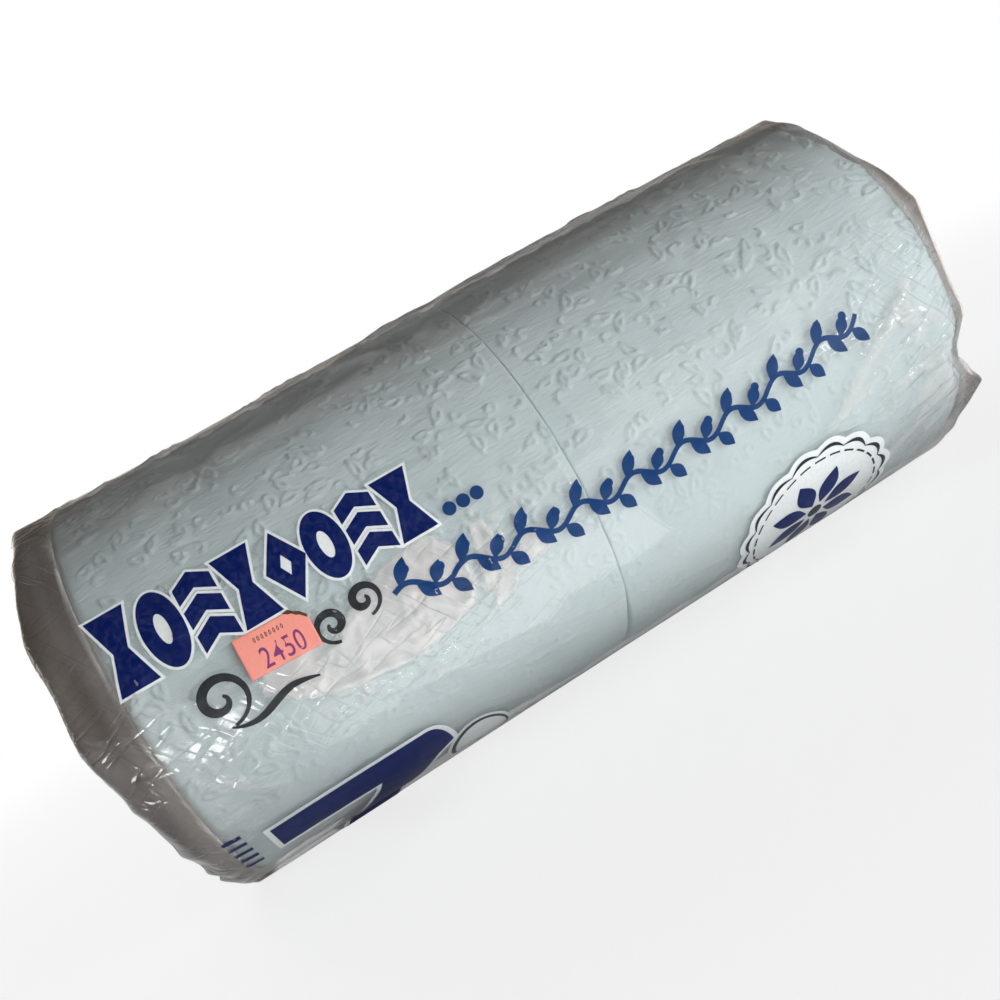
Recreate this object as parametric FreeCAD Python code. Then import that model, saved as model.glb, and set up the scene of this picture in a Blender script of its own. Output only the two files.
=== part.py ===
import FreeCAD, Part

import math
import os

# A sealed pack of four bathroom tissue rolls in clear film, in millimetres.
# The pack lies on its wide front panel. X runs along the rolls, Y across the two columns, and Z is up.
# Each column holds two rolls end to end. The origin is under the middle of the pack, on the surface it lies on.
# The film's left end stands out further than its right end, so the rolls sit a little to the right of the middle.

# The paper roll, 4.5 inches wide.
roll_width = 114.3
roll_diameter = 114.0
roll_tail_step = 0.4
roll_tail_angle = 118.0
roll_press_flat = 0.6
outline_spans = 24

# The turns that show on a roll's end faces, drawn as shallow rings.
turn_ring_count = 6
turn_ring_depth = 0.5
turn_ring_width = 1.6
turn_ring_land = 2.6

# The card core.
core_diameter = 42.0
core_wall = 0.9
core_fit = 0.1
core_inset = 0.4

# How far a cutting tool runs past the face that it cuts.
cut_past = 1.0

# Gaps between pieces that lie against each other.
roll_to_roll_gap = 0.4
roll_to_film_gap = 0.3
label_to_film_gap = 0.03

# The film, drawn thicker than the real 0.04.
film_wall = 0.3

# The film stands out past the rolls at each end, in a soft lip around a sunken end panel.
left_lip_stand = 12.0
right_lip_stand = 4.5
lip_crest_inset = 4.0
lip_slope_run = 9.0
lip_bevel = 2.0

# The folds on each end panel: two side tucks under an upper and a lower flap.
fold_step = 0.5
tuck_reach = 50.0
tuck_half_height = 38.0
tuck_shoulder = 18.0
flap_overlap = 14.0
flap_root_half_width = 84.0
flap_tip_half_width = 44.0
fold_margin = 3.0

# The lap seam along the back panel.
seam_width = 16.0
seam_step = 0.3
seam_end_margin = 6.0
seam_offset = 18.0

# The price label, stuck on the film of the narrow side near the left end.
label_length = 17.6
label_height = 9.8
label_thickness = 0.15
label_to_roll_end = 26.6
label_rise_angle = 0.8
label_lean_angle = 2.0
label_torn_corner = 3.0

# Sizes that follow from those above.
roll_radius = roll_diameter / 2
core_radius = core_diameter / 2
film_inner_radius = roll_radius + roll_to_film_gap
film_radius = film_inner_radius + film_wall
axis_height = film_radius
column_offset = roll_radius - roll_press_flat + roll_to_roll_gap / 2
rolls_half_length = roll_width + roll_to_roll_gap / 2
left_reach = rolls_half_length + left_lip_stand
right_reach = rolls_half_length + right_lip_stand
meeting_x = (left_reach - right_reach) / 2
left_crest_x = meeting_x - left_reach
right_crest_x = meeting_x + right_reach
left_panel_x = meeting_x - rolls_half_length - roll_to_film_gap
right_panel_x = meeting_x + rolls_half_length + roll_to_film_gap

X_AXIS = FreeCAD.Vector(1, 0, 0)


def at(x, y, z):
    return FreeCAD.Vector(x, y, z)


def straight(start, end):
    return Part.LineSegment(start, end).toShape()


def polygon_prism(corners, run):
    face = Part.Face(Part.makePolygon(corners + corners[:1]))
    return face.extrude(run)


def ring(outer_radius, inner_radius, x_start, length, y, z):
    outer = Part.makeCylinder(outer_radius, length, at(x_start, y, z), X_AXIS)
    inner = Part.makeCylinder(inner_radius, length + 2 * cut_past, at(x_start - cut_past, y, z), X_AXIS)
    return outer.cut(inner)


# The roll of paper

def roll_outline(x, y, z):
    """The last turn's outline: a spiral that drops by the tail's step in one turn."""
    start = math.radians(roll_tail_angle)
    points = []
    for i in range(outline_spans + 1):
        turn = i / outline_spans
        angle = start + turn * 2 * math.pi
        radius = roll_radius - roll_tail_step * turn
        points.append(at(x, y + radius * math.cos(angle), z + radius * math.sin(angle)))
    curve = Part.BSplineCurve()
    curve.interpolate(points)
    return Part.Wire([curve.toShape(), straight(points[-1], points[0])])


def turn_rings(x_face, inward, y, z):
    """Shallow grooves in an end face, cut by one turned profile for each groove."""
    first = core_radius + core_fit + turn_ring_land
    last = roll_radius - roll_tail_step - turn_ring_land
    pitch = (last - first) / turn_ring_count
    grooves = []
    for i in range(turn_ring_count):
        middle = first + (i + 0.5) * pitch
        half = turn_ring_width / 2
        mouth_low = at(x_face - inward * turn_ring_depth, y, z + middle - 2 * half)
        mouth_high = at(x_face - inward * turn_ring_depth, y, z + middle + 2 * half)
        root = at(x_face + inward * turn_ring_depth, y, z + middle)
        profile = Part.Face(Part.makePolygon([mouth_low, mouth_high, root, mouth_low]))
        grooves.append(profile.revolve(at(x_face, y, z), X_AXIS, 360))
    return grooves


def make_roll(x_start, y, z):
    roll = Part.Face(roll_outline(x_start, y, z)).extrude(at(roll_width, 0, 0))
    bore_radius = core_radius + core_fit
    bore = Part.makeCylinder(bore_radius, roll_width + 2 * cut_past, at(x_start - cut_past, y, z), X_AXIS)
    # The side that presses on the other column is a little flat.
    toward = -1 if y > 0 else 1
    flat_y = y + toward * (roll_radius - roll_press_flat)
    far_y = y + toward * roll_diameter
    slab = Part.makeBox(
        roll_width + 2 * cut_past, abs(far_y - flat_y), roll_diameter,
        at(x_start - cut_past, min(flat_y, far_y), z - roll_radius))
    roll = roll.cut(bore).cut(slab)
    for groove in turn_rings(x_start, 1, y, z) + turn_rings(x_start + roll_width, -1, y, z):
        roll = roll.cut(groove)
    return roll


# The card core

def make_core(x_start, y, z):
    return ring(core_radius, core_radius - core_wall, x_start + core_inset, roll_width - 2 * core_inset, y, z)


# The film

def stadium(radius, x):
    """The outline round both columns: two half circles joined by flat panels."""
    top = axis_height + radius
    low = axis_height - radius
    back = column_offset
    front = -column_offset
    return Part.Wire([
        straight(at(x, front, low), at(x, back, low)),
        Part.Arc(at(x, back, low), at(x, back + radius, axis_height), at(x, back, top)).toShape(),
        straight(at(x, back, top), at(x, front, top)),
        Part.Arc(at(x, front, top), at(x, front - radius, axis_height), at(x, front, low)).toShape(),
    ])


def bag_volume(radius, left_x, right_x, left_dish_x, right_dish_x, slope_shift):
    """The body of a filled bag: a stadium prism with a bevelled rim and a sunken panel at each end."""
    body = Part.Face(stadium(radius, left_x)).extrude(at(right_x - left_x, 0, 0))
    rims = [e for e in body.Edges if abs(e.BoundBox.XMax - e.BoundBox.XMin) < 0.001]
    body = body.makeChamfer(lip_bevel, rims)
    for crest_x, dish_x in ((left_x, left_dish_x), (right_x, right_dish_x)):
        outward = -1 if crest_x < dish_x else 1
        crest_radius = radius - lip_crest_inset + slope_shift
        dish_radius = crest_radius - lip_slope_run
        slope = (crest_radius - dish_radius) / abs(crest_x - dish_x)
        mouth = stadium(crest_radius + slope * cut_past, crest_x + outward * cut_past)
        floor = stadium(dish_radius, dish_x)
        body = body.cut(Part.makeLoft([mouth, floor], True, True))
    return body


def fold_layers(panel_x, outward):
    """The film folded flat on an end panel: two side tucks, then a lower and an upper flap over them."""
    reach = column_offset + film_radius - lip_crest_inset - lip_slope_run - fold_margin
    half_height = film_radius - lip_crest_inset - lip_slope_run - fold_margin
    mid = axis_height
    layers = []
    for side in (-1, 1):
        tuck = [
            at(panel_x, side * (reach - tuck_shoulder), mid - tuck_half_height),
            at(panel_x, side * reach, mid),
            at(panel_x, side * (reach - tuck_shoulder), mid + tuck_half_height),
            at(panel_x, side * (reach - tuck_reach), mid),
        ]
        layers.append(polygon_prism(tuck, at(outward * fold_step, 0, 0)))
    lower = [
        at(panel_x, -flap_root_half_width, mid - half_height),
        at(panel_x, flap_root_half_width, mid - half_height),
        at(panel_x, flap_tip_half_width, mid + flap_overlap / 2),
        at(panel_x, -flap_tip_half_width, mid + flap_overlap / 2),
    ]
    upper = [
        at(panel_x, -flap_root_half_width, mid + half_height),
        at(panel_x, flap_root_half_width, mid + half_height),
        at(panel_x, flap_tip_half_width, mid - flap_overlap / 2),
        at(panel_x, -flap_tip_half_width, mid - flap_overlap / 2),
    ]
    layers.append(polygon_prism(lower, at(outward * 2 * fold_step, 0, 0)))
    layers.append(polygon_prism(upper, at(outward * 3 * fold_step, 0, 0)))
    return layers


def make_film():
    outer = bag_volume(
        film_radius, left_crest_x, right_crest_x,
        left_panel_x - film_wall, right_panel_x + film_wall, 0)
    inner = bag_volume(
        film_inner_radius, left_crest_x + film_wall, right_crest_x - film_wall,
        left_panel_x, right_panel_x, 2 * film_wall)
    film = outer
    for layer in fold_layers(left_panel_x - film_wall, -1) + fold_layers(right_panel_x + film_wall, 1):
        film = film.fuse(layer)
    seam_length = right_crest_x - left_crest_x - 2 * seam_end_margin
    top = axis_height + film_radius
    seam = Part.makeBox(
        seam_length, seam_width, 2 * seam_step,
        at(left_crest_x + seam_end_margin, seam_offset - seam_width / 2, top - seam_step))
    return film.fuse(seam).cut(inner).removeSplitter()


# The price label

def make_label():
    y = -column_offset
    inner_radius = film_radius + label_to_film_gap
    left_roll_end = meeting_x - rolls_half_length
    left = left_roll_end + label_to_roll_end
    skin = ring(inner_radius + label_thickness, inner_radius, left - label_length, 3 * label_length, y, axis_height)
    rise = film_radius * math.radians(label_rise_angle)
    half = label_height / 2
    torn = label_torn_corner
    front = y - film_radius - cut_past
    outline = [
        at(left, front, axis_height + rise - half),
        at(left + label_length, front, axis_height + rise - half),
        at(left + label_length, front, axis_height + rise + half - torn),
        at(left + label_length - torn, front, axis_height + rise + half),
        at(left, front, axis_height + rise + half),
    ]
    stamp = polygon_prism(outline, at(0, film_radius / 2, 0))
    centre = at(left + label_length / 2, front, axis_height + rise)
    stamp.rotate(centre, at(0, 1, 0), label_lean_angle)
    return skin.common(stamp)


# Every piece, by the name of its file

def make_pieces():
    pieces = {}
    left_x = meeting_x - rolls_half_length
    right_x = meeting_x + roll_to_roll_gap / 2
    for column, y in (("front", -column_offset), ("rear", column_offset)):
        for place, x in (("left", left_x), ("right", right_x)):
            pieces["paper_roll_" + column + "_" + place] = make_roll(x, y, axis_height)
            pieces["core_tube_" + column + "_" + place] = make_core(x, y, axis_height)
    pieces["film_wrap"] = make_film()
    pieces["price_label"] = make_label()
    return pieces


os.makedirs("parts", exist_ok=True)
for name, shape in make_pieces().items():
    solids = shape.Solids
    if len(solids) != 1 or not shape.isValid():
        raise RuntimeError(name + " is not one valid solid")
    solids[0].exportStep("parts/" + name + ".step")
    box = solids[0].BoundBox
    print(name, "volume", round(solids[0].Volume), "mm3, size",
          round(box.XLength, 1), round(box.YLength, 1), round(box.ZLength, 1),
          "from", round(box.XMin, 2), round(box.YMin, 2), round(box.ZMin, 2))
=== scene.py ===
# %% [markdown]
# # A film-wrapped pack of bathroom tissue
# This lesson dresses a pack of four tissue rolls. The pack's frame gives every size and place, and
# Blender adds what the eye notices: embossed paper, glossy wrinkled film, ink, and a price label.
# Lengths below are written in millimetres, and one value, MM, turns them into Blender's metres.

# %% Load the frame
import math
import bpy
import bmesh
import numpy as np
from mathutils import Matrix, Vector


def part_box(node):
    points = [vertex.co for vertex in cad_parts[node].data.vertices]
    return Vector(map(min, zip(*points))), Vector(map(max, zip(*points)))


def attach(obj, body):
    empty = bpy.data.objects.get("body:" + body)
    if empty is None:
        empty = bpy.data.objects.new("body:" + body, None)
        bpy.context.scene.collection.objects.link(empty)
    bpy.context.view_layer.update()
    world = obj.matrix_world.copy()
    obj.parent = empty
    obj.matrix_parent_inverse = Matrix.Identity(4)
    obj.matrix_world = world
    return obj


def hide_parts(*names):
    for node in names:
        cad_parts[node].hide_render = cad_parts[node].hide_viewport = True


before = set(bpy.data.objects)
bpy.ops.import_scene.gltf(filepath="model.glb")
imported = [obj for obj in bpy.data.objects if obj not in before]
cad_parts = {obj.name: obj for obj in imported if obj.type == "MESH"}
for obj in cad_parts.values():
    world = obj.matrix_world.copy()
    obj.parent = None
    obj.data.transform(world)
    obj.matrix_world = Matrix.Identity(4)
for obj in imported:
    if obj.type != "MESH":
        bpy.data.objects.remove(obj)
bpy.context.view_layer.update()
MM = 0.001
print("nodes:", sorted(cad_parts))

# %% [markdown]
# ## Sizes from the frame
# The pack is a stadium in section: two half circles, one round each column of rolls, joined by flat
# panels. Its three driving numbers are the film's radius, how far each column stands from the middle,
# and where the two rolls of a column meet. All of them can be read from the boxes of the nodes.

# %% Read the sizes
def box_mm(node):
    low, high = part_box(node)
    return np.array(low) / MM, np.array(high) / MM


film_low, film_high = box_mm("film_wrap")
left_low, left_high = box_mm("paper_roll_front_left")
right_low, right_high = box_mm("paper_roll_front_right")
core_low, core_high = box_mm("core_tube_front_left")
AXIS_Z = (core_low[2] + core_high[2]) / 2
COLUMN_Y = -(core_low[1] + core_high[1]) / 2
FILM_RADIUS = AXIS_Z
ROLL_LEFT_X = left_low[0]
ROLL_RIGHT_X = right_high[0]
MEETING_X = (left_high[0] + right_low[0]) / 2
ROLL_WIDTH = left_high[0] - left_low[0]
CORE_RADIUS = (core_high[2] - core_low[2]) / 2
QUARTER = FILM_RADIUS * math.pi / 2
PANEL = 2 * COLUMN_Y
GIRTH = 4 * QUARTER + 2 * PANEL
print("film radius", round(FILM_RADIUS, 2), "column", round(COLUMN_Y, 2), "girth", round(GIRTH, 1))

# %% [markdown]
# ## Colours and nodes
# Colours are picked as sRGB hex, as in any paint program, and shaders want linear light, so one
# function converts them. A second small function adds a shader node with its settings and links.

# %% Two helpers for materials
def linear(hex_colour):
    channels = [int(hex_colour[i:i + 2], 16) / 255 for i in (1, 3, 5)]
    bent = [c / 12.92 if c <= 0.04045 else ((c + 0.055) / 1.055) ** 2.4 for c in channels]
    return (*bent, 1.0)


def add(tree, kind, settings=None, **links):
    """Add one node. Settings name its properties, and links name its inputs."""
    node = tree.nodes.new(kind)
    for key, value in (settings or {}).items():
        setattr(node, key, value)
    for key, value in links.items():
        wanted = key.replace("_", " ")
        socket = next(s for s in node.inputs if s.enabled and s.name.lower() == wanted.lower())
        if isinstance(value, bpy.types.NodeSocket):
            tree.links.new(value, socket)
        else:
            socket.default_value = value
    return node


def new_material(name):
    material = bpy.data.materials.new(name)
    material.use_nodes = True
    material.node_tree.nodes.clear()
    return material, material.node_tree


def finish_material(tree, surface):
    add(tree, "ShaderNodeOutputMaterial", Surface=surface)


# %% [markdown]
# ## Smooth noise on a wrapped sheet
# Paper and film are never quite even. Value noise, which is a grid of random heights with a smooth
# blend between them, gives soft dents at any size. Round the pack it has to join up with itself, so
# the grid repeats after one whole girth.

# %% Value noise that closes on itself
def soft_noise(x, s, cell_x, cell_s, girth, seed):
    """Heights from 0 to 1 at places x along and s round a sheet, with cells of the sizes given."""
    table = np.random.RandomState(seed).rand(97, 97)
    around = max(3, int(round(girth / cell_s)))
    u = np.asarray(x) / cell_x + 500
    v = np.asarray(s) / girth * around
    iu = np.floor(u).astype(int)
    iv = np.floor(v).astype(int)
    fu = u - iu
    fv = v - iv
    fu = fu * fu * (3 - 2 * fu)
    fv = fv * fv * (3 - 2 * fv)
    u0 = iu % 97
    u1 = (iu + 1) % 97
    v0 = (iv % around) % 97
    v1 = ((iv + 1) % around) % 97
    low = table[u0, v0] * (1 - fu) + table[u1, v0] * fu
    high = table[u0, v1] * (1 - fu) + table[u1, v1] * fu
    return low * (1 - fv) + high * fv


def smooth_step(low, high, value):
    t = np.clip((np.asarray(value) - low) / (high - low), 0, 1)
    return t * t * (3 - 2 * t)


# %% [markdown]
# ## Where the film runs
# A place on the film is given by x along the rolls and s round the pack. s is 0 on the middle of the
# narrow side that shows, and grows upward. The function turns both into a point and its outward normal.

# %% The stadium as a function
def wrap(s):
    """The column's middle and the angle round it, for a distance s round the pack."""
    s = (np.asarray(s, dtype=float) + GIRTH / 2) % GIRTH - GIRTH / 2
    angle = np.where(np.abs(s) <= QUARTER, s / FILM_RADIUS, 0.0)
    middle = np.where(np.abs(s) <= QUARTER, -COLUMN_Y, 0.0)
    on_panel = (np.abs(s) > QUARTER) & (np.abs(s) <= QUARTER + PANEL)
    angle = np.where(on_panel, np.sign(s) * math.pi / 2, angle)
    middle = np.where(on_panel, np.abs(s) - QUARTER - COLUMN_Y, middle)
    on_back = np.abs(s) > QUARTER + PANEL
    turn = math.pi / 2 + (np.abs(s) - QUARTER - PANEL) / FILM_RADIUS
    angle = np.where(on_back, np.sign(s) * turn, angle)
    middle = np.where(on_back, COLUMN_Y, middle)
    return middle, angle


def place(x, s, radius):
    """Points, in millimetres, at x along and s round the pack, at a radius from the column's middle."""
    middle, angle = wrap(s)
    y = middle - radius * np.cos(angle)
    z = AXIS_Z + radius * np.sin(angle)
    x, y, z = np.broadcast_arrays(x, y, z)
    return np.stack([x, y, z], axis=-1)


# %% [markdown]
# ## Creases in the film
# Thin polyethylene holds a sharp crease wherever it was pinched. Each crease is a straight line with a
# crest that falls away on both sides. The long ones are placed where the pack shows them, and
# short ones are scattered in the places where the film is crumpled.

# %% The creases
# Each crease: start (x, s), end (x, s), height and half width, in millimetres.
long_creases = [
    ((-76, -14), (-46, -20), 0.7, 0.8),
    ((-46, -20), (-24, -9), 0.7, 0.7),
    ((-76, -14), (-50, -24), 0.6, 0.8),
    ((-66, -6), (-54, -21), 0.5, 0.7),
    ((-44, -4), (-37, -19), 0.6, 0.6),
    ((-37, -3), (-24, -18), 0.6, 0.6),
    ((-30, 2), (-31, -13), 0.5, 0.6),
    ((-22, -1), (-29, -19), 0.6, 0.6),
    ((-14, -4), (-26, -22), 0.6, 0.6),
    ((-10, -3), (-17, -17), 0.5, 0.6),
    ((-60, -26), (-14, -30), 0.5, 1.6),
    ((-28, -30), (14, -40), 0.6, 1.8),
    ((-14, -44), (18, -57), 0.5, 1.8),
    ((-8, -34), (26, -54), 0.5, 1.6),
    ((-104, -18), (-90, -30), 0.9, 1.6),
    ((-107, -10), (-97, -26), 0.7, 1.4),
    ((-102, -4), (-92, -16), 0.5, 1.2),
    ((112, 2), (70, -26), 1.1, 2.0),
    ((114, -12), (58, -30), 0.8, 1.8),
    ((117, -20), (96, -36), 1.0, 1.8),
    ((117, -30), (84, -58), 0.9, 2.0),
    ((112, -40), (92, -70), 0.7, 1.8),
    ((100, 26), (92, 60), 0.7, 2.4),
    ((84, 22), (74, 66), 0.5, 2.4),
    ((108, 42), (86, 74), 0.6, 2.2),
    ((-40, 68), (112, 78), 0.9, 2.6),
    ((-30, 76), (90, 84), 0.8, 2.4),
    ((-110, 74), (-44, 70), 0.7, 2.4),
    ((-112, 62), (-70, 76), 0.6, 2.2),
    ((-40, 70), (-14, 58), 0.8, 2.0),
    ((104, -44), (101, 62), 0.4, 1.3),
    ((96, -22), (93, 60), 0.35, 1.5),
    ((87, 8), (84, 68), 0.35, 1.6),
    ((111, -12), (109, 52), 0.4, 1.2),
    ((117, -28), (90, -39), 0.9, 1.2),
    ((117, -30), (86, -52), 0.9, 1.3),
    ((116, -26), (84, -25), 0.7, 1.2),
    ((116, -33), (97, -62), 0.8, 1.3),
    ((118, -20), (99, -4), 0.6, 1.2),
    ((-122, 66), (-112, 52), 0.7, 1.0),
    ((-121, 44), (-111, 30), 0.6, 0.9),
    ((-122, 22), (-110, 18), 0.5, 0.9),
    ((-121, 8), (-109, -8), 0.7, 1.0),
    ((-120, -10), (-108, -12), 0.5, 0.9),
    ((-118, -24), (-108, -40), 0.7, 1.0),
    ((-118, -44), (-109, -46), 0.5, 0.9),
    ((-70.8, -14.6), (-56.6, -17.3), 0.6, 0.45),
    ((-56.6, -17.3), (-36.8, -21.3), 0.6, 0.45),
    ((-48.3, -15.9), (-39.1, -14.7), 0.5, 0.4),
    ((-39.1, -14.7), (-32.4, -12.5), 0.5, 0.4),
    ((-70.8, -14.6), (-62.5, -6.7), 0.5, 0.5),
    ((116.7, -20), (82.3, -30.4), 0.8, 0.6),
    ((115.6, -21.7), (97.4, -21), 0.6, 0.6),
    ((112.2, -24.4), (88.3, -55), 0.8, 0.6),
    ((114.2, -12.3), (67.8, -8), 0.5, 0.6),
]


def short_creases(count, x_range, s_range, seed, lean=0.0, spread=1.2, widths=(0.8, 1.5)):
    """Short random creases in a window, leaning about an angle from the x axis."""
    rng = np.random.RandomState(seed)
    made = []
    for _ in range(count):
        x = rng.uniform(*x_range)
        s = rng.uniform(*s_range)
        angle = lean + rng.normal(0, spread)
        half = rng.uniform(2.5, 8.0)
        step = (half * math.cos(angle), half * math.sin(angle))
        height = rng.uniform(0.15, 0.6)
        made.append(((x - step[0], s - step[1]), (x + step[0], s + step[1]), height, rng.uniform(*widths)))
    return made


creases = long_creases
creases = creases + short_creases(70, (-46, 2), (-27, 6), 3, lean=1.3, spread=0.6, widths=(0.45, 0.8))
creases = creases + short_creases(34, (-76, -46), (-28, 0), 4, widths=(0.45, 0.8))
creases = creases + short_creases(26, (-112, -88), (-44, 20), 5, lean=0.9)
creases = creases + short_creases(24, (-112, -60), (40, 84), 6)
creases = creases + short_creases(30, (84, 119), (-70, 30), 7, lean=0.6)
creases = creases + short_creases(40, (-60, 115), (58, 92), 8, lean=0.1, spread=0.4)
creases = creases + short_creases(110, (-118, 119), (92, 190), 9, lean=0.6, spread=0.8)
creases = creases + short_creases(120, (-118, 119), (190, 400), 10)
print("creases:", len(creases))


def crease_height(x, s):
    """The sum of all creases at a grid of places, with x growing down the rows and s along the columns."""
    height = np.zeros((len(x), len(s)))
    for (xa, sa), (xb, sb), tall, half in creases:
        reach = 4 * half
        rows = np.where((x > min(xa, xb) - reach) & (x < max(xa, xb) + reach))[0]
        columns = np.where((s > min(sa, sb) - reach) & (s < max(sa, sb) + reach))[0]
        if len(rows) == 0 or len(columns) == 0:
            continue
        dx = x[rows][:, None] - xa
        ds = s[columns][None, :] - sa
        length = math.hypot(xb - xa, sb - sa)
        ux, us = (xb - xa) / length, (sb - sa) / length
        along = (dx * ux + ds * us) / length
        aside = np.abs(dx * us - ds * ux)
        taper = np.clip(along * 5, 0, 1) * np.clip((1 - along) * 5, 0, 1)
        crest = np.exp(-aside / half) * taper * tall
        height[np.ix_(rows, columns)] += crest
    return height


# %% [markdown]
# ## How far the film stands off the paper
# Between creases the film bulges softly where air is trapped, and it sags a little between the two
# columns on the wide panel. On the panel that the pack lies on it is pressed flat.

# %% The film's lift
SAG = 2.4
# The tube of film is closed by a lap seam along its back panel.
SEAM_S = QUARTER + COLUMN_Y + 18.0
SEAM_HALF = 8.0
SEAM_STEP = 0.35


def lap_seam(x, s):
    """1 on the lap seam and 0 off it."""
    across = smooth_step(SEAM_HALF + 0.3, SEAM_HALF - 0.3, np.abs(s - SEAM_S))
    return across * smooth_step(film_low[0] + 5, film_low[0] + 7, x) * smooth_step(film_high[0] - 5, film_high[0] - 7, x)


def squeeze(x, s):
    """How far soft rolls and film are pressed in, mostly near the left end and along the lower edge."""
    middle, angle = wrap(s)
    degrees = np.degrees(angle)
    upper = smooth_step(25, 70, degrees) * smooth_step(COLUMN_Y, -COLUMN_Y, middle)
    lower = smooth_step(-22, -50, degrees) * smooth_step(-89, -78, degrees)
    toward_left = smooth_step(40, -100, x)
    return toward_left * (1.5 * upper + 1.6 * lower) + 0.5 * upper + 0.7 * lower


def film_lift(x, s):
    """Lift of the film over its plain radius, for rows x and columns s."""
    grid_x = x[:, None]
    grid_s = s[None, :]
    puffs = 0.6 * soft_noise(grid_x, grid_s, 34, 30, GIRTH, 11)
    pulls = 0.4 * soft_noise(grid_x, grid_s, 46, 9, GIRTH, 12) ** 2
    fine = 0.16 * soft_noise(grid_x, grid_s, 6, 5, GIRTH, 13)
    # Along the upper edge the film is drawn tight over the rolls, so it bulges less there.
    tight = smooth_step(42, 62, grid_s) * smooth_step(122, 104, grid_s)
    lift = (puffs + pulls) * (1 - 0.7 * tight) + fine + crease_height(x, s)
    # The film pulls in a little over the gap between the rolls.
    lift -= 0.25 * np.exp(-((grid_x - MEETING_X) / 4.0) ** 2)
    # Over the rounded rim of the right-hand roll it slants inward.
    slanted = smooth_step(60, 40, grid_s) * smooth_step(-66, -50, grid_s)
    lift -= 1.3 * smooth_step(ROLL_RIGHT_X - 6, ROLL_RIGHT_X + 2, grid_x) * slanted
    lift = lift * (1 - 0.75 * smooth_step(-30, -50, np.degrees(wrap(s)[1])))[None, :]
    lift -= squeeze(grid_x, grid_s)
    lift += SEAM_STEP * lap_seam(grid_x, grid_s)
    middle, angle = wrap(s)
    across = np.clip(1 - (middle / COLUMN_Y) ** 2, 0, 1)
    on_top = (s > 0)[None, :] * (across > 0)[None, :]
    lift = lift - on_top * SAG * across[None, :]
    pressed = smooth_step(-1.0, -0.985, np.sin(angle))[None, :]
    return np.maximum(lift, -SAG - 1.5) * pressed


# %% [markdown]
# ## The film's ends
# At each end the tube of film runs past the rolls, turns over in a soft lip, and is folded flat over
# the end. The lip isn't straight: it swells and dips, so its crest is a list of heights round the pack.

# %% The lip's crest
LEFT_CREST = film_low[0]
RIGHT_CREST = film_high[0]
LIP = 2.0
DISH_MOUTH = FILM_RADIUS - 4.0
DISH_FLOOR = DISH_MOUTH - 9.0
LEFT_FLOOR = ROLL_LEFT_X - 0.6
RIGHT_FLOOR = ROLL_RIGHT_X + 0.6

# How far the crest is pulled in from the frame's end, at places s round the pack, in millimetres.
left_dips = [(-290, 2), (-210, 3), (-150, 5), (-95, 6.5), (-62, 7.2), (-45, 7.0), (-30, 5.6), (-15, 3.4),
             (-4, 0.8), (7, 0.2), (15, 0.9), (30, 0.5), (40, 1.3), (50, 2.6), (60, 3.6), (75, 2.2),
             (95, 0.9), (140, 2.2), (200, 1.0), (250, 2.4)]
right_dips = [(-290, 1.5), (-210, 2.0), (-130, 2.5), (-75, 3.4), (-62, 3.0), (-52, 1.2), (-44, -3.8),
              (-40, 0.5), (-33, 6.2), (-27, 6.4), (-19, 2.6), (-9, 3.0), (1, 3.1), (9, 1.2), (15, -0.4),
              (21, 0.8), (35, 3.8), (55, 4.6), (68, 2.4), (82, -2.2), (95, 0.5), (150, 2.0), (220, 1.2)]


def dips_at(table, s):
    places = [p for p, _ in table]
    depths = [d for _, d in table]
    return np.interp(s, places, depths, period=GIRTH)


# %% [markdown]
# ## Build the film
# The film is one grid of points: rows run from the middle of the left end, over the lip, along the
# pack, over the right lip and back to the middle; columns run round the pack. The columns are closer
# together on the narrow side that shows.

# %% Rows and columns of the film
def spaced(start, end, step):
    count = max(1, int(round(abs(end - start) / step)))
    return np.linspace(start, end, count, endpoint=False)


# The crumpled patch beside the label gets the finest grid, since its creases are the sharpest.
FINE_X = (-80.0, 6.0)
FINE_S = (-36.0, 10.0)
seam_edges = [SEAM_S + side * (SEAM_HALF + aside) for side in (-1, 1) for aside in (-0.35, 0.35)]
film_columns = np.concatenate([
    spaced(-QUARTER, FINE_S[0], 1.4),
    spaced(FINE_S[0], FINE_S[1], 0.7),
    spaced(FINE_S[1], QUARTER, 1.4),
    np.sort(np.concatenate([spaced(QUARTER, QUARTER + PANEL, 3.0), seam_edges])),
    spaced(QUARTER + PANEL, 3 * QUARTER + PANEL, 2.4),
    spaced(3 * QUARTER + PANEL, GIRTH - QUARTER, 6.0),
])
film_columns = (film_columns + GIRTH / 2) % GIRTH - GIRTH / 2


def end_profile(crest, floor):
    """Radius and x of the rows from the middle of an end panel out to its lip."""
    inward = 1 if crest < floor else -1
    rows = []
    for radius in spaced(1.5, DISH_FLOOR, 2.2):
        rows.append((radius, floor))
    for t in spaced(0, 1, 0.12):
        rows.append((DISH_FLOOR + (DISH_MOUTH - DISH_FLOOR) * t, floor + (crest - floor) * t))
    for turn in spaced(0, 1, 0.2):
        angle = turn * math.pi / 2
        radius = DISH_MOUTH + (FILM_RADIUS - DISH_MOUTH) * math.sin(angle)
        rows.append((radius, crest + inward * LIP * (1 - math.cos(angle))))
    return rows


left_rows = end_profile(LEFT_CREST, LEFT_FLOOR)
right_rows = end_profile(RIGHT_CREST, RIGHT_FLOOR)[::-1]
body_x = np.concatenate([
    spaced(LEFT_CREST + LIP, FINE_X[0], 1.3),
    spaced(FINE_X[0], FINE_X[1], 0.7),
    spaced(FINE_X[1], RIGHT_CREST - LIP, 1.3),
    [RIGHT_CREST - LIP],
])
rows = left_rows + [(FILM_RADIUS, x) for x in body_x] + right_rows
row_radius = np.array([r for r, _ in rows])
row_x = np.array([x for _, x in rows])
print("film grid:", len(row_x), "by", len(film_columns))


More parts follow.
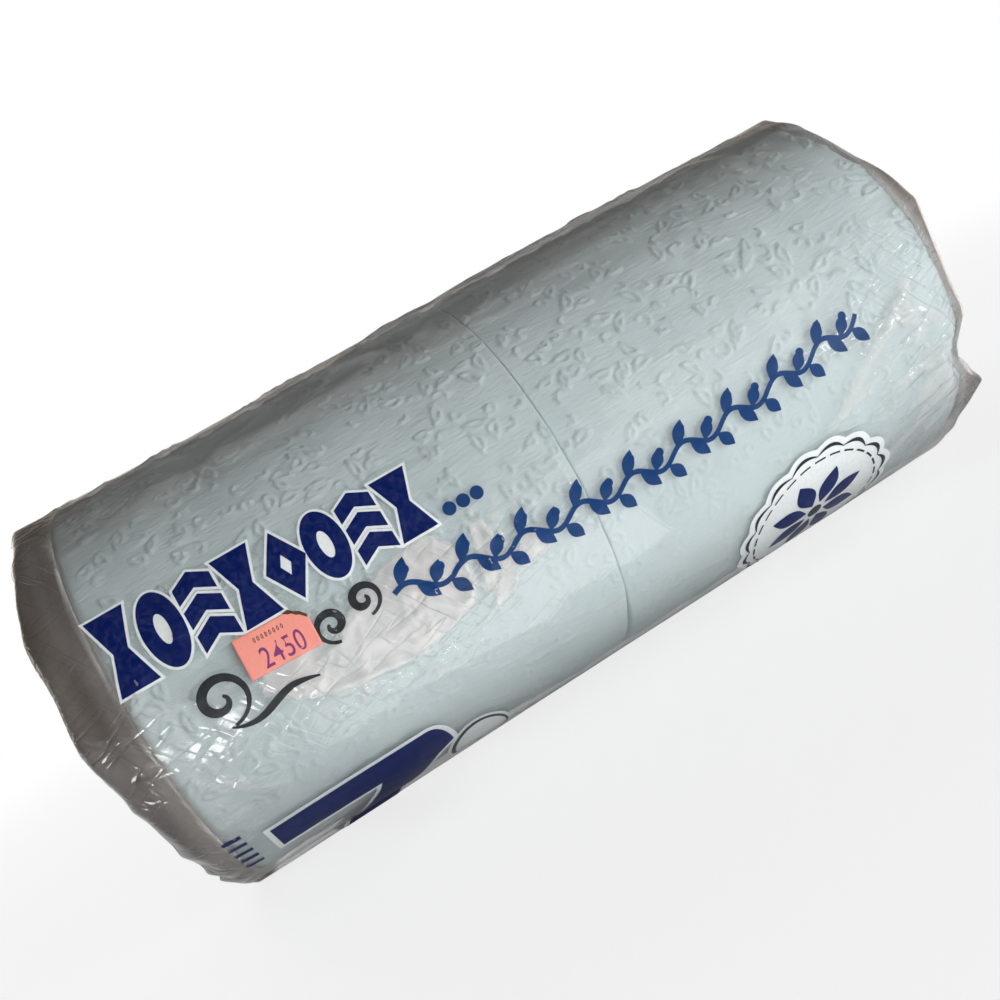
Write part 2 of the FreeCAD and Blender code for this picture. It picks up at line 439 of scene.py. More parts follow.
# %% [markdown]
# The pleats in the slope inside each lip come from the extra film that has nowhere to go as the tube
# closes. They are close together round the two half circles and nearly absent on the flat panels.

# %% Shape the film
def film_surface(row_x, row_radius, s):
    """The film's points for rows given by x and radius, and columns s."""
    in_left = smooth_step(ROLL_LEFT_X + 10, ROLL_LEFT_X - 8, row_x)
    in_right = smooth_step(ROLL_RIGHT_X - 10, ROLL_RIGHT_X + 3, row_x)
    depth = np.clip((row_radius - DISH_FLOOR) / (FILM_RADIUS - DISH_FLOOR), 0, 1)
    x = np.repeat(row_x[:, None], len(s), axis=1)
    x += (in_left * depth)[:, None] * dips_at(left_dips, s)[None, :]
    x -= (in_right * depth)[:, None] * dips_at(right_dips, s)[None, :]
    outer = smooth_step(DISH_FLOOR + 4, FILM_RADIUS, row_radius)
    lift = film_lift(row_x, s) * outer[:, None]
    middle, angle = wrap(s)
    on_arc = (np.abs(middle) > COLUMN_Y - 0.5).astype(float)
    phase = s / 5.2 + 1.7 * soft_noise(0 * s, s, 10, 24, GIRTH, 21) * 2 * math.pi
    pleat = np.abs(((phase / math.pi) % 2) - 1) - 0.5
    slope = np.exp(-((row_radius - (DISH_FLOOR + 6)) / 7.0) ** 2)
    past = np.maximum(in_left, in_right)
    pleats = (slope * past)[:, None] * (pleat * (0.35 + 0.65 * on_arc))[None, :] * 2.2
    crumple = (past * (row_radius > 8) * (row_radius < 54))[:, None] * 0.7 * (
        soft_noise(row_radius[:, None] + row_x[:, None], s[None, :], 7, 8, GIRTH, 22) - 0.5)
    outward = np.where(row_x < MEETING_X, -1.0, 1.0)[:, None]
    x += outward * np.maximum(crumple, -0.25)
    radius = row_radius[:, None] + lift + pleats * outer[:, None] * 0.5
    x += outward * np.maximum(pleats, 0) * 0.8
    points = place(x, s[None, :], radius)
    points[..., 2] = np.maximum(points[..., 2], 0.0)
    return points


film_points = film_surface(row_x, row_radius, film_columns)


# %% [markdown]
# Two helpers turn arrays of points into a mesh. The first makes quads between neighbouring rows, and
# the second links the new object, so that each piece below needs only a line or two.

# %% Mesh helpers
def grid_faces(row_count, column_count, start, closed):
    rows = np.arange(row_count - 1)[:, None]
    last = column_count if closed else column_count - 1
    columns = np.arange(last)[None, :]
    following = (columns + 1) % column_count
    a = start + rows * column_count + columns
    b = start + rows * column_count + following
    c = b + column_count
    d = a + column_count
    return np.stack([a, b, c, d], axis=-1).reshape(-1, 4).tolist()


def make_object(name, points, faces, smooth=True):
    mesh = bpy.data.meshes.new(name)
    mesh.from_pydata((np.asarray(points).reshape(-1, 3) * MM).tolist(), [], faces)
    mesh.validate()
    mesh.polygons.foreach_set("use_smooth", [smooth] * len(mesh.polygons))
    piece = bpy.data.objects.new(name, mesh)
    bpy.context.scene.collection.objects.link(piece)
    return piece


def dress(piece, material, body="root"):
    piece.data.materials.clear()
    piece.data.materials.append(material)
    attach(piece, body)
    return piece


# %% [markdown]
# ## The end flaps
# Over the sunken end the film is folded like a wrapped gift: two side tucks first, then a lower and an
# upper flap sealed over them. Each flap is a thin sheet with its own slight wrinkles.

# %% Flaps for one end
FLAP_ROOT = 84.0
FLAP_TIP = 44.0
FLAP_OVERLAP = 14.0
FLAP_HALF = DISH_FLOOR - 1.0


def flap(end_x, outward, root_z, tip_z, layer, seed):
    """A trapezoid flap from its wide root to its narrow tip, standing out by its layer, and its hem."""
    count = 24
    wide = 60
    t = np.linspace(0, 1, count)[:, None]
    w = np.linspace(-1, 1, wide)[None, :]
    half = FLAP_ROOT + (FLAP_TIP - FLAP_ROOT) * t
    y = half * w
    z = root_z + (tip_z - root_z) * t + 0 * w
    wave = soft_noise(y + 300, z * 3 + 0 * y, 16, 24, GIRTH, seed)
    crinkle = soft_noise(y + 300, z * 3 + 0 * y, 5, 8, GIRTH, seed + 1)
    # Folds fan out from the root, where the film is gathered, and fade toward the tip.
    gather = np.abs((y / (6.5 - 2.5 * t) + 2.0 * wave) % 1.0 - 0.5) * (1 - t) ** 1.5
    x = end_x + outward * (layer + 0.9 * wave + 0.35 * crinkle + 0.9 * gather)
    hem = np.maximum(smooth_step(0.94, 0.97, t), smooth_step(0.965, 0.98, np.abs(w))) + 0 * y
    return np.stack(np.broadcast_arrays(x, y, AXIS_Z + z), axis=-1), hem


TUCK_ROOT = COLUMN_Y + DISH_FLOOR - 3.0
TUCK_REACH = 50.0
TUCK_HALF = 38.0
TUCK_SHOULDER = 0.36


def tuck(end_x, outward, side, seed):
    """A kite-shaped side tuck that lies under the flaps, and its hem."""
    t = np.linspace(0, 1, 15)[:, None]
    w = np.linspace(-1, 1, 19)[None, :]
    y = side * (TUCK_ROOT - TUCK_REACH * t) + 0 * w
    z = TUCK_HALF * np.interp(t, [0, TUCK_SHOULDER, 1], [0.02, 1, 0.02]) * w
    wave = soft_noise(y + 300, z * 3 + 0 * y, 12, 18, GIRTH, seed)
    x = end_x + outward * (0.15 + 0.5 * wave)
    hem = smooth_step(0.9, 0.97, np.abs(w)) + 0 * y
    return np.stack(np.broadcast_arrays(x, y, AXIS_Z + z), axis=-1), hem


film_parts = [film_points.reshape(-1, 3)]
hem_parts = [np.zeros(len(film_parts[0]))]
film_faces = grid_faces(len(row_x), len(film_columns), 0, closed=True)
film_start = len(film_parts[0])
for end_x, outward in ((LEFT_FLOOR, -1), (RIGHT_FLOOR, 1)):
    folded = [tuck(end_x, outward, -1, 35), tuck(end_x, outward, 1, 36)]
    folded.append(flap(end_x, outward, -FLAP_HALF, FLAP_OVERLAP / 2, 0.6, 31))
    folded.append(flap(end_x, outward, FLAP_HALF, -FLAP_OVERLAP / 2, 1.1, 33))
    for sheet, hem in folded:
        hem_parts.append(hem.reshape(-1))
        film_faces += grid_faces(sheet.shape[0], sheet.shape[1], film_start, closed=False)
        film_parts.append(sheet.reshape(-1, 3))
        film_start += sheet.shape[0] * sheet.shape[1]
first_ring = list(range(len(film_columns)))
last_ring = [(len(row_x) - 1) * len(film_columns) + i for i in first_ring]
film_faces.append(first_ring)
film_faces.append(last_ring[::-1])
film_faces = [face[::-1] for face in film_faces]
film = make_object("film_wrap_visible", np.concatenate(film_parts), film_faces)
print("film faces:", len(film.data.polygons))

# %% [markdown]
# ## Clear film as a material
# Low-density polyethylene blown into thin film is clear and glossy. Light goes straight through, apart
# from a mirror-like sheen that grows at a glancing angle, so the shader mixes a transparent part and a
# glossy part by Fresnel. Where the film is folded or creased it turns a little milky. The same diffuse
# part also carries painted light: painted shade in dark brown on the lips and along the upper edge, and
# painted sheen in a pale colour on a glare patch, along creases and on the right lip's crest.

# %% Low-density polyethylene film
# With an IOR of 1.51, each of the film's two faces reflects about 4% face on.
FILM_FACE_ON = 0.075
FILM_TINT = "#f6f6f6"
# Painted shade: dark brown laid on the lips that face the front and along the upper edge.
COLLAR_PAINTED_SHADE = "#301f16"
FOLD_TINT = "#cfccc6"
# Painted sheen: a pale colour laid on the glare patch, along creases and on the right lip's crest.
PAINTED_SHEEN_TINT = "#f6ecea"
CREASE_LENGTH = 26.0 * MM
CREASE_GAP = 4.6 * MM


def film_material():
    material, tree = new_material("low_density_polyethylene_film")
    place_on = add(tree, "ShaderNodeTexCoord").outputs["Object"]
    ripple = add(tree, "ShaderNodeTexNoise", Vector=place_on, Scale=150.0, Detail=2.0, Roughness=0.5)
    soft = add(tree, "ShaderNodeBump", Height=ripple.outputs["Fac"], Strength=0.2, Distance=0.0006)
    # Tension creases are long and nearly straight, and they fade in and out. They are the places where
    # a stretched noise passes through its middle value. The noise lies in the flat sheet, whose places
    # ride along with each point, and it is used at two leans.
    sheet = add(tree, "ShaderNodeAttribute", {"attribute_name": "sheet"}).outputs["Vector"]
    ridges = []
    for lean in (0.35, -1.0):
        turned = add(tree, "ShaderNodeMapping", {"vector_type": "TEXTURE"}, Vector=sheet,
                     Rotation=(0, 0, lean), Scale=(CREASE_LENGTH, CREASE_GAP, 1.0))
        folds = add(tree, "ShaderNodeTexNoise", {"noise_dimensions": "2D"}, Vector=turned.outputs[0],
                    Scale=1.0, Detail=1.5)
        centred = add(tree, "ShaderNodeMath", {"operation": "SUBTRACT"})
        tree.links.new(folds.outputs["Fac"], centred.inputs[0])
        centred.inputs[1].default_value = 0.5
        off_line = add(tree, "ShaderNodeMath", {"operation": "ABSOLUTE"})
        tree.links.new(centred.outputs[0], off_line.inputs[0])
        ridge = add(tree, "ShaderNodeMapRange", Value=off_line.outputs[0])
        ridge.inputs["From Max"].default_value = 0.05
        ridges.append(ridge.outputs["Result"])
    both = add(tree, "ShaderNodeMath", {"operation": "ADD"})
    tree.links.new(ridges[0], both.inputs[0])
    tree.links.new(ridges[1], both.inputs[1])
    crumpled = add(tree, "ShaderNodeAttribute", {"attribute_name": "crumpled"}).outputs["Fac"]
    sharp = add(tree, "ShaderNodeBump", Height=both.outputs[0], Strength=crumpled, Distance=0.0005,
                Normal=soft.outputs["Normal"])
    normal = sharp.outputs["Normal"]
    haze_and_painted_light = add(tree, "ShaderNodeAttribute", {"attribute_name": "haze_and_painted_light"}).outputs["Fac"]
    clear = add(tree, "ShaderNodeBsdfTransparent", Color=linear(FILM_TINT))
    # The painted shade share picks the dark brown.
    painted_shade_share = add(tree, "ShaderNodeAttribute", {"attribute_name": "painted_shade"}).outputs["Fac"]
    tint = add(tree, "ShaderNodeMix", {"data_type": "RGBA"}, Factor=painted_shade_share)
    tints = [socket for socket in tint.inputs if socket.type == "RGBA"]
    tints[0].default_value = linear(FOLD_TINT)
    tints[1].default_value = linear(COLLAR_PAINTED_SHADE)
    # The painted sheen share picks the pale colour of painted reflections and glints.
    painted_sheen_share = add(tree, "ShaderNodeAttribute", {"attribute_name": "painted_sheen"}).outputs["Fac"]
    with_painted_sheen = add(tree, "ShaderNodeMix", {"data_type": "RGBA"}, Factor=painted_sheen_share)
    painted_sheen_tints = [socket for socket in with_painted_sheen.inputs if socket.type == "RGBA"]
    tree.links.new(next(socket for socket in tint.outputs if socket.type == "RGBA"), painted_sheen_tints[0])
    painted_sheen_tints[1].default_value = linear(PAINTED_SHEEN_TINT)
    haze_and_paint_diffuse = add(tree, "ShaderNodeBsdfDiffuse", Normal=normal,
                Color=next(socket for socket in with_painted_sheen.outputs if socket.type == "RGBA"))
    body = add(tree, "ShaderNodeMixShader", Fac=haze_and_painted_light)
    tree.links.new(clear.outputs[0], body.inputs[1])
    tree.links.new(haze_and_paint_diffuse.outputs[0], body.inputs[2])
    rough = add(tree, "ShaderNodeMapRange", Value=crumpled)
    rough.inputs["To Min"].default_value = 0.11
    rough.inputs["To Max"].default_value = 0.26
    sheen = add(tree, "ShaderNodeBsdfGlossy", Color=(1, 1, 1, 1), Roughness=rough.outputs["Result"],
                Normal=normal)
    # Schlick's rule, with its power lowered from 5, since a film's two faces both reflect.
    facing = add(tree, "ShaderNodeLayerWeight", Blend=0.5, Normal=normal).outputs["Facing"]
    steep = add(tree, "ShaderNodeMath", {"operation": "POWER"})
    tree.links.new(facing, steep.inputs[0])
    steep.inputs[1].default_value = 3.6
    glance = add(tree, "ShaderNodeMapRange", Value=steep.outputs[0])
    glance.inputs["To Min"].default_value = FILM_FACE_ON
    glance.inputs["To Max"].default_value = 1.0
    surface = add(tree, "ShaderNodeMixShader", Fac=glance.outputs["Result"])
    tree.links.new(body.outputs[0], surface.inputs[1])
    tree.links.new(sheen.outputs[0], surface.inputs[2])
    finish_material(tree, surface.outputs[0])
    return material


polyethylene = film_material()

# %% [markdown]
# The milky share is painted on the points: a little everywhere, more on the end folds, where two to four
# layers lie on each other, and most on the lips that face the front, where it is painted shade.

# %% Paint the haze, the painted shade and the painted sheen
coordinates = np.zeros(len(film.data.vertices) * 3)
film.data.vertices.foreach_get("co", coordinates)
film_x = coordinates.reshape(-1, 3)[:, 0] / MM
past_left = smooth_step(ROLL_LEFT_X + 2.5, ROLL_LEFT_X + 0.3, film_x)
past_right = smooth_step(ROLL_RIGHT_X - 3, ROLL_RIGHT_X + 1, film_x)
grid_size = len(row_x) * len(film_columns)
film_s = np.zeros(len(film_x))
film_s[:grid_size] = np.tile(film_columns, len(row_x))
film_r = np.zeros(len(film_x))
film_r[:grid_size] = np.repeat(row_radius, len(film_columns))
film_hem = np.concatenate(hem_parts)
streaks = soft_noise(film_x, film_s, 5, 14, GIRTH, 41) * 0.6 + soft_noise(film_x, film_s, 2.5, 40, GIRTH, 42) * 0.4
in_collar = smooth_step(47, 54, film_r)
# Painted shade: the lip is painted dark brown where it faces the front, and less so round the back.
front_side = 0.5 + 0.5 * smooth_step(175, 110, np.abs(film_s))
painted_shade = np.maximum(past_left * front_side, 0.9 * past_right * front_side) * in_collar
folds = np.maximum(past_left, past_right) * (1 - in_collar)


def paint(name, values):
    """Store one value for each point of the film, for the material to read."""
    layer = film.data.attributes.new(name, "FLOAT", "POINT")
    layer.data.foreach_set("value", values.astype(np.float32))


# %% [markdown]
# Beside the label the film was crushed, and a pale patch of painted reflection lies there, standing in for the
# glare of a window on the crumpled film. The patch has straight borders, since folds bound it, and a few fingers
# reach up from it.

# %% The painted glare patch
painted_glare_patches = [
    [(-80, 0), (-65, -5), (-57, 0), (-46, 4), (-35, 5), (-30, -1), (-29, -10), (-32, -15), (-40, -18),
     (-50, -19), (-64, -18), (-78, -13), (-84, -7)],
    [(-25, 2.5), (-21, 1), (-22.5, -10), (-26, -14.5), (-30, -16), (-28, -9)],
    [(-23.5, -10.5), (-18.5, -8.5), (-20, -15.5), (-26, -19), (-30, -20)],
    [(-15, -6), (-9, -8), (-10, -13), (-16, -13.5), (-22, -14.5)],
]


def inside_polygon(corners, x, s):
    """How far each point is inside a polygon, in millimetres, and less than 0 outside it."""
    nearest = np.full(x.shape, 1e6)
    crossings = np.zeros(x.shape, dtype=int)
    for (xa, sa), (xb, sb) in zip(corners, corners[1:] + corners[:1]):
        along = np.clip(((x - xa) * (xb - xa) + (s - sa) * (sb - sa)) / ((xb - xa) ** 2 + (sb - sa) ** 2), 0, 1)
        nearest = np.minimum(nearest, np.hypot(x - xa - along * (xb - xa), s - sa - along * (sb - sa)))
        spans = (sa > s) != (sb > s)
        meets = xa + (s - sa) * (xb - xa) / (sb - sa if sb != sa else 1.0)
        crossings += spans & (x < meets)
    return np.where(crossings % 2 == 1, nearest, -nearest)


painted_sheen = np.zeros(len(film_x))
near_patch = np.where((np.abs(film_x + 45) < 45) & (np.abs(film_s + 8) < 22) & (film_r > 50))[0]
for corners in painted_glare_patches:
    depth = inside_polygon(corners, film_x[near_patch], film_s[near_patch])
    painted_sheen[near_patch] = np.maximum(painted_sheen[near_patch], smooth_step(-0.5, 0.9, depth))
mottle = soft_noise(film_x, film_s, 3.4, 9, GIRTH, 43) * 0.6 + soft_noise(film_x, film_s, 11, 3, GIRTH, 44) * 0.4
painted_sheen *= 0.55 + 0.6 * mottle

# Sharp creases get fine pale lines: partly the whitening of stressed film, partly painted highlight for the glints
# along them.
crest = np.zeros(len(film_x))
crest[:grid_size] = crease_height(row_x, film_columns).reshape(-1)
crease_whitening_and_highlight = smooth_step(0.35, 0.9, crest) * (film_r > 50)
painted_sheen = np.maximum(painted_sheen, 0.5 * crease_whitening_and_highlight * (1 - painted_shade))
# Along the right lip's crest pale broken lengths are painted: painted highlights for the glints on the sharply
# folded lip.
lip_crest_painted_glint = smooth_step(54.0, 55.0, film_r) * (film_r < FILM_RADIUS - 0.1) * past_right
painted_sheen = np.maximum(painted_sheen, 0.9 * lip_crest_painted_glint * smooth_step(0.42, 0.62, streaks))
haze_and_painted_light_share = 0.02 + (0.9 + 0.08 * streaks) * painted_shade + (0.06 + 0.08 * streaks) * folds
# Along the upper edge the film gathers in long folds, and long streaks of dark brown painted shade lie there, where
# the narrow side turns away from the light.
long_streaks = soft_noise(film_x, film_s, 60, 3.5, GIRTH, 45)
painted_upper_shade = smooth_step(26, 64, film_s) * smooth_step(108, 88, film_s) * (film_r > 50) * (0.4 + 0.8 * long_streaks)
haze_and_painted_light_share = np.maximum(haze_and_painted_light_share, 0.42 * painted_upper_shade)
haze_and_painted_light_share = np.maximum(haze_and_painted_light_share, 0.5 * painted_sheen)
haze_and_painted_light_share = np.maximum(haze_and_painted_light_share, 0.4 * film_hem)
on_sheet = film_r > 50
haze_and_painted_light_share = haze_and_painted_light_share + 0.08 * on_sheet * lap_seam(film_x, film_s)
# These carry painted light as well as haze: painted shade on the lips and upper edge, painted sheen on the glare
# patch, creases and lip crest.
paint("haze_and_painted_light", haze_and_painted_light_share)
paint("painted_shade", np.maximum(painted_shade * (1 - 0.35 * streaks), np.minimum(painted_upper_shade, 0.8)))
paint("painted_sheen", painted_sheen)

# Crumpled places: middle (x, s), reach (x, s) and strength.
crumpled_places = [((-36, -10), (26, 15), 0.65), ((-104, -18), (10, 28), 0.45), ((-66, -14), (22, 12), 0.45),
                   ((106, -20), (18, 40), 0.6), ((-20, 82), (130, 16), 0.4), ((-96, 70), (20, 26), 0.3)]
crumpled_value = 0.05 + 0.22 * np.maximum(past_left, past_right)
for (mx, ms), (rx, rs), strength in crumpled_places:
    near = np.exp(-((film_x - mx) / rx) ** 2 - ((film_s - ms) / rs) ** 2)
    crumpled_value = np.maximum(crumpled_value, strength * near)
paint("crumpled", crumpled_value)
sheet_places = np.stack([film_x, film_s, 0 * film_s], axis=-1)
sheet_places[grid_size:] = coordinates.reshape(-1, 3)[grid_size:, [1, 2, 0]] / MM
sheet_layer = film.data.attributes.new("sheet", "FLOAT_VECTOR", "POINT")
sheet_layer.data.foreach_set("vector", (sheet_places * MM).astype(np.float32).reshape(-1))
dress(film, polyethylene)
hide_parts("film_wrap")

# %% [markdown]
# ## Embossed tissue
# Soft tissue is embossed by a patterned roller that presses curls into it. The pattern here is
# scattered sprigs, each of three or four small leaves and curls, raised about half a millimetre. They are
# drawn into the mesh as strokes, since an eye so close to the pack sees their shape in the light.

# %% The embossing strokes
SPRIG_PITCH = 11.6
STROKE_WIDTH = 0.38
STROKE_HEIGHT = 0.68


def curl(x, s, radius, start, sweep, count=14):
    """Points of one curl: an arc that tightens as it goes round."""
    t = np.linspace(0, 1, count)
    angle = start + sweep * t
    r = radius * (1 - 0.45 * t)
    return np.stack([x + r * np.cos(angle), s + r * np.sin(angle)], axis=-1)


def crescent(x, s, length, width, lean, count=14):
    """The two curved sides of a small leaf, pressed in as two lines."""
    t = np.linspace(0, 1, count)
    made = []
    for bulge in (1.0, -0.2):
        a = length * (t - 0.5)
        b = width * bulge * np.sin(math.pi * t)
        made.append(np.stack([x + a * math.cos(lean) - b * math.sin(lean),
                              s + a * math.sin(lean) + b * math.cos(lean)], axis=-1))
    return made


def sprigs(girth, seed):
    """The curls of one roll, on a jittered grid that closes round it."""
    rng = np.random.RandomState(seed)
    strokes = []
    rows = int(round(girth / SPRIG_PITCH))
    for i in range(int(ROLL_WIDTH / SPRIG_PITCH) + 1):
        for j in range(rows):
            x = (i + 0.25 + rng.uniform(0, 0.5)) * SPRIG_PITCH
            s = (j + 0.25 + rng.uniform(0, 0.5) + 0.5 * (i % 2)) * girth / rows
            turn = rng.uniform(0, 2 * math.pi)
            for k in range(rng.randint(3, 5)):
                lean = turn + k * 1.9
                cx = x + 3.2 * math.cos(lean)
                cs = s + 3.2 * math.sin(lean)
                if rng.uniform() < 0.6:
                    strokes += crescent(cx, cs, rng.uniform(3.4, 6.2), rng.uniform(1.1, 2.0), lean + 1.2)
                else:
                    sweep = rng.choice([-1, 1]) * rng.uniform(1.8, 4.2)
                    strokes.append(curl(cx, cs, rng.uniform(1.2, 2.4), rng.uniform(0, 6.28), sweep))
    return strokes


def emboss(x, s, girth, seed):
    """Height of the embossing on a grid of rows x and columns s, both growing."""
    height = np.zeros((len(x), len(s)))
    reach = 3 * STROKE_WIDTH
    for stroke in sprigs(girth, seed):
        low = stroke.min(axis=0) - reach
        high = stroke.max(axis=0) + reach
        for shift in (0, -girth):
            rows = np.arange(*np.searchsorted(x, [low[0], high[0]]))
            columns = np.arange(*np.searchsorted(s, [low[1] + shift, high[1] + shift]))
            if len(rows) == 0 or len(columns) == 0:
                continue
            dx = x[rows][:, None, None] - stroke[None, None, :, 0]
            ds = s[columns][None, :, None] - (stroke[None, None, :, 1] + shift)
            near = np.sqrt((dx ** 2 + ds ** 2).min(axis=-1))
            mark = STROKE_HEIGHT * np.exp(-(near / STROKE_WIDTH) ** 2)
            block = np.ix_(rows, columns)
            height[block] = np.maximum(height[block], mark)
    return height


# %% [markdown]
# ## Build a roll
# A roll is a ring of paper: the outside with its embossing, two end faces where the edges of the turns
# show as fine rings, and the bore round the core. Film presses the soft edges round, so the rims are
# rounded by a millimetre. The side that leans on the other column is a little flat.

# %% One roll of paper
PAPER_RADIUS = (left_high[2] - left_low[2]) / 2
BORE_RADIUS = CORE_RADIUS + 0.15
LEFT_RIM = 2.4
RIGHT_RIM = 3.6
SEAM_RIM = 0.12
SEAM_PRESS = 0.17
PAPER_GIRTH = 2 * math.pi * PAPER_RADIUS


def roll_edges(step):
    """Places round a roll, finest on the side that shows and finer on top than underneath."""
    outer = np.arange(-0.17 * PAPER_GIRTH, 0.26 * PAPER_GIRTH, step)
    inner = np.arange(0.26 * PAPER_GIRTH, 0.42 * PAPER_GIRTH, 1.2)
    under = np.arange(0.42 * PAPER_GIRTH, 0.83 * PAPER_GIRTH, 3.0)
    return np.sort(np.concatenate([outer, inner, under]) % PAPER_GIRTH)


def make_roll(name, node, seed):
    low, high = box_mm(node)
    front = low[1] < 0
    left = low[0] < 0
    middle_y = -COLUMN_Y if front else COLUMN_Y
    step = 0.53 if front else 0.8
    x = np.linspace(0, ROLL_WIDTH, int(ROLL_WIDTH / step))
    s = roll_edges(step)
    height = emboss(x, s, PAPER_GIRTH, seed)
    gx = x[:, None]
    gs = s[None, :]
    dents = 1.2 * (soft_noise(gx, gs, 26, 30, PAPER_GIRTH, seed + 50) - 0.8)
    ripples = 0.5 * (soft_noise(gx, gs, 9, 22, PAPER_GIRTH, seed + 51) - 0.8)
    crumbs = 0.22 * (soft_noise(gx, gs, 3.2, 2.2, PAPER_GIRTH, seed + 52) - 0.5)
    # At the seam both rolls are pressed to one height.
    from_seam = (ROLL_WIDTH - gx) if left else gx
    uneven = (dents + ripples + crumbs + 0.55) * smooth_step(0, 9, from_seam) - 0.55
    # s is 0 at the side that faces away from the other column, and grows upward on the front one.
    signed = (s + PAPER_GIRTH / 2) % PAPER_GIRTH - PAPER_GIRTH / 2
    if front:
        # The film is tight low down, and it presses the embossing flatter there.
        height *= 0.4 + 0.6 * smooth_step(-32, -4, np.degrees(signed / PAPER_RADIUS))[None, :]
    radius = PAPER_RADIUS + 0.15 + height + uneven
    if front:
        radius -= squeeze(low[0] + gx, gs * 0 + signed[None, :])
    radius = np.minimum(radius, PAPER_RADIUS + 0.45)
    # The two rolls of a column are pressed together, and their rims part only low down.
    lower = smooth_step(-36, -62, np.degrees(signed / PAPER_RADIUS)) if front else 0 * s
    seam_rim = SEAM_RIM * smooth_step(60, -10, np.degrees(signed / PAPER_RADIUS)) + 0.04 + 1.6 * lower
    left_rim = np.full(len(s), LEFT_RIM) if left else seam_rim
    right_rim = seam_rim if left else np.full(len(s), RIGHT_RIM)
    from_left = gx
    from_right = ROLL_WIDTH - gx
    round_off = np.zeros((len(x), len(s)))
    for rim, distance in ((left_rim[None, :], from_left), (right_rim[None, :], from_right)):
        inside = np.maximum(rim - distance, 0)
        round_off = np.maximum(round_off, rim - np.sqrt(np.maximum(rim ** 2 - inside ** 2, 0)))
    radius = radius - round_off
    away = -1 if front else 1
    edge_y = away * np.cos(s / PAPER_RADIUS)
    edge_z = np.sin(s / PAPER_RADIUS)

    # Where the film's lip dips over the right end, the soft rim gives way behind it.
    lip_x = RIGHT_CREST - dips_at(right_dips, signed)
    pushed_in = np.zeros(len(s)) if left or not front else np.maximum(high[0] + 1.6 - lip_x, 0)

    def ring_points(x_row, r_row):
        x_row = x_row - pushed_in * smooth_step(high[0] - 16, high[0], x_row) * smooth_step(34, 52, r_row)
        y = middle_y + r_row * edge_y
        z = AXIS_Z + r_row * edge_z
        flat = 0.25
        y = np.minimum(y, -flat) if front else np.maximum(y, flat)
        z = np.clip(z, low[2] - 0.3, high[2] + 0.3)
        return np.stack([np.broadcast_to(x_row, y.shape), y, z], axis=-1)

    start = low[0] - (0 if left else SEAM_PRESS)
    end = high[0] + (SEAM_PRESS if left else 0)
    across = start + (end - start) * x / ROLL_WIDTH
    turns = np.linspace(BORE_RADIUS, PAPER_RADIUS - RIGHT_RIM - 3.0, 18)
    wobble = soft_noise(turns[:, None] * 3, gs, 4, 60, PAPER_GIRTH, seed + 60)
    ends = []
    for side_x, inward in ((start, 1), (end, -1)):
        block = []
        for k, r in enumerate(turns):
            ridge = 0.35 * ((k % 2) == 0) + 0.5 * wobble[k] + 0.15
            block.append(ring_points(side_x + inward * ridge, np.full(len(s), r)))
        ends.append(block)
    outside = [ring_points(across[i], radius[i]) for i in range(len(x))]
    all_rings = ends[0] + outside + ends[1][::-1]
    faces = grid_faces(len(all_rings), len(s), 0, closed=True)
    # The bore joins the last ring back to the first.
    last = (len(all_rings) - 1) * len(s)
    for i in range(len(s)):
        j = (i + 1) % len(s)
        faces.append((last + i, last + j, j, i))
    if front:
        faces = [face[::-1] for face in faces]
    piece = make_object(name, np.stack(all_rings), faces)
    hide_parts(node)
    return piece


# %% [markdown]
# ## Tissue as a material
# Creped tissue is matte and slightly fuzzy. Its fine ridges run along the roll about every half
# millimetre. They are drawn 0.9 mm apart, as coarse as the picture needs to show them.

# %% Embossed bathroom tissue
TISSUE = "#d4e0e0"
TISSUE_SHADE = "#c8d6d9"
CREPE_SPACING = 0.9 * MM
# The turns are about 0.4 mm apart and drawn in bunches of three or four.
TURN_GAP = 1.4 * MM
# Painted shade: the colour laid in the gaps between turns on the end faces.
TURN_GAP_PAINTED_SHADE = "#9fb0b2"


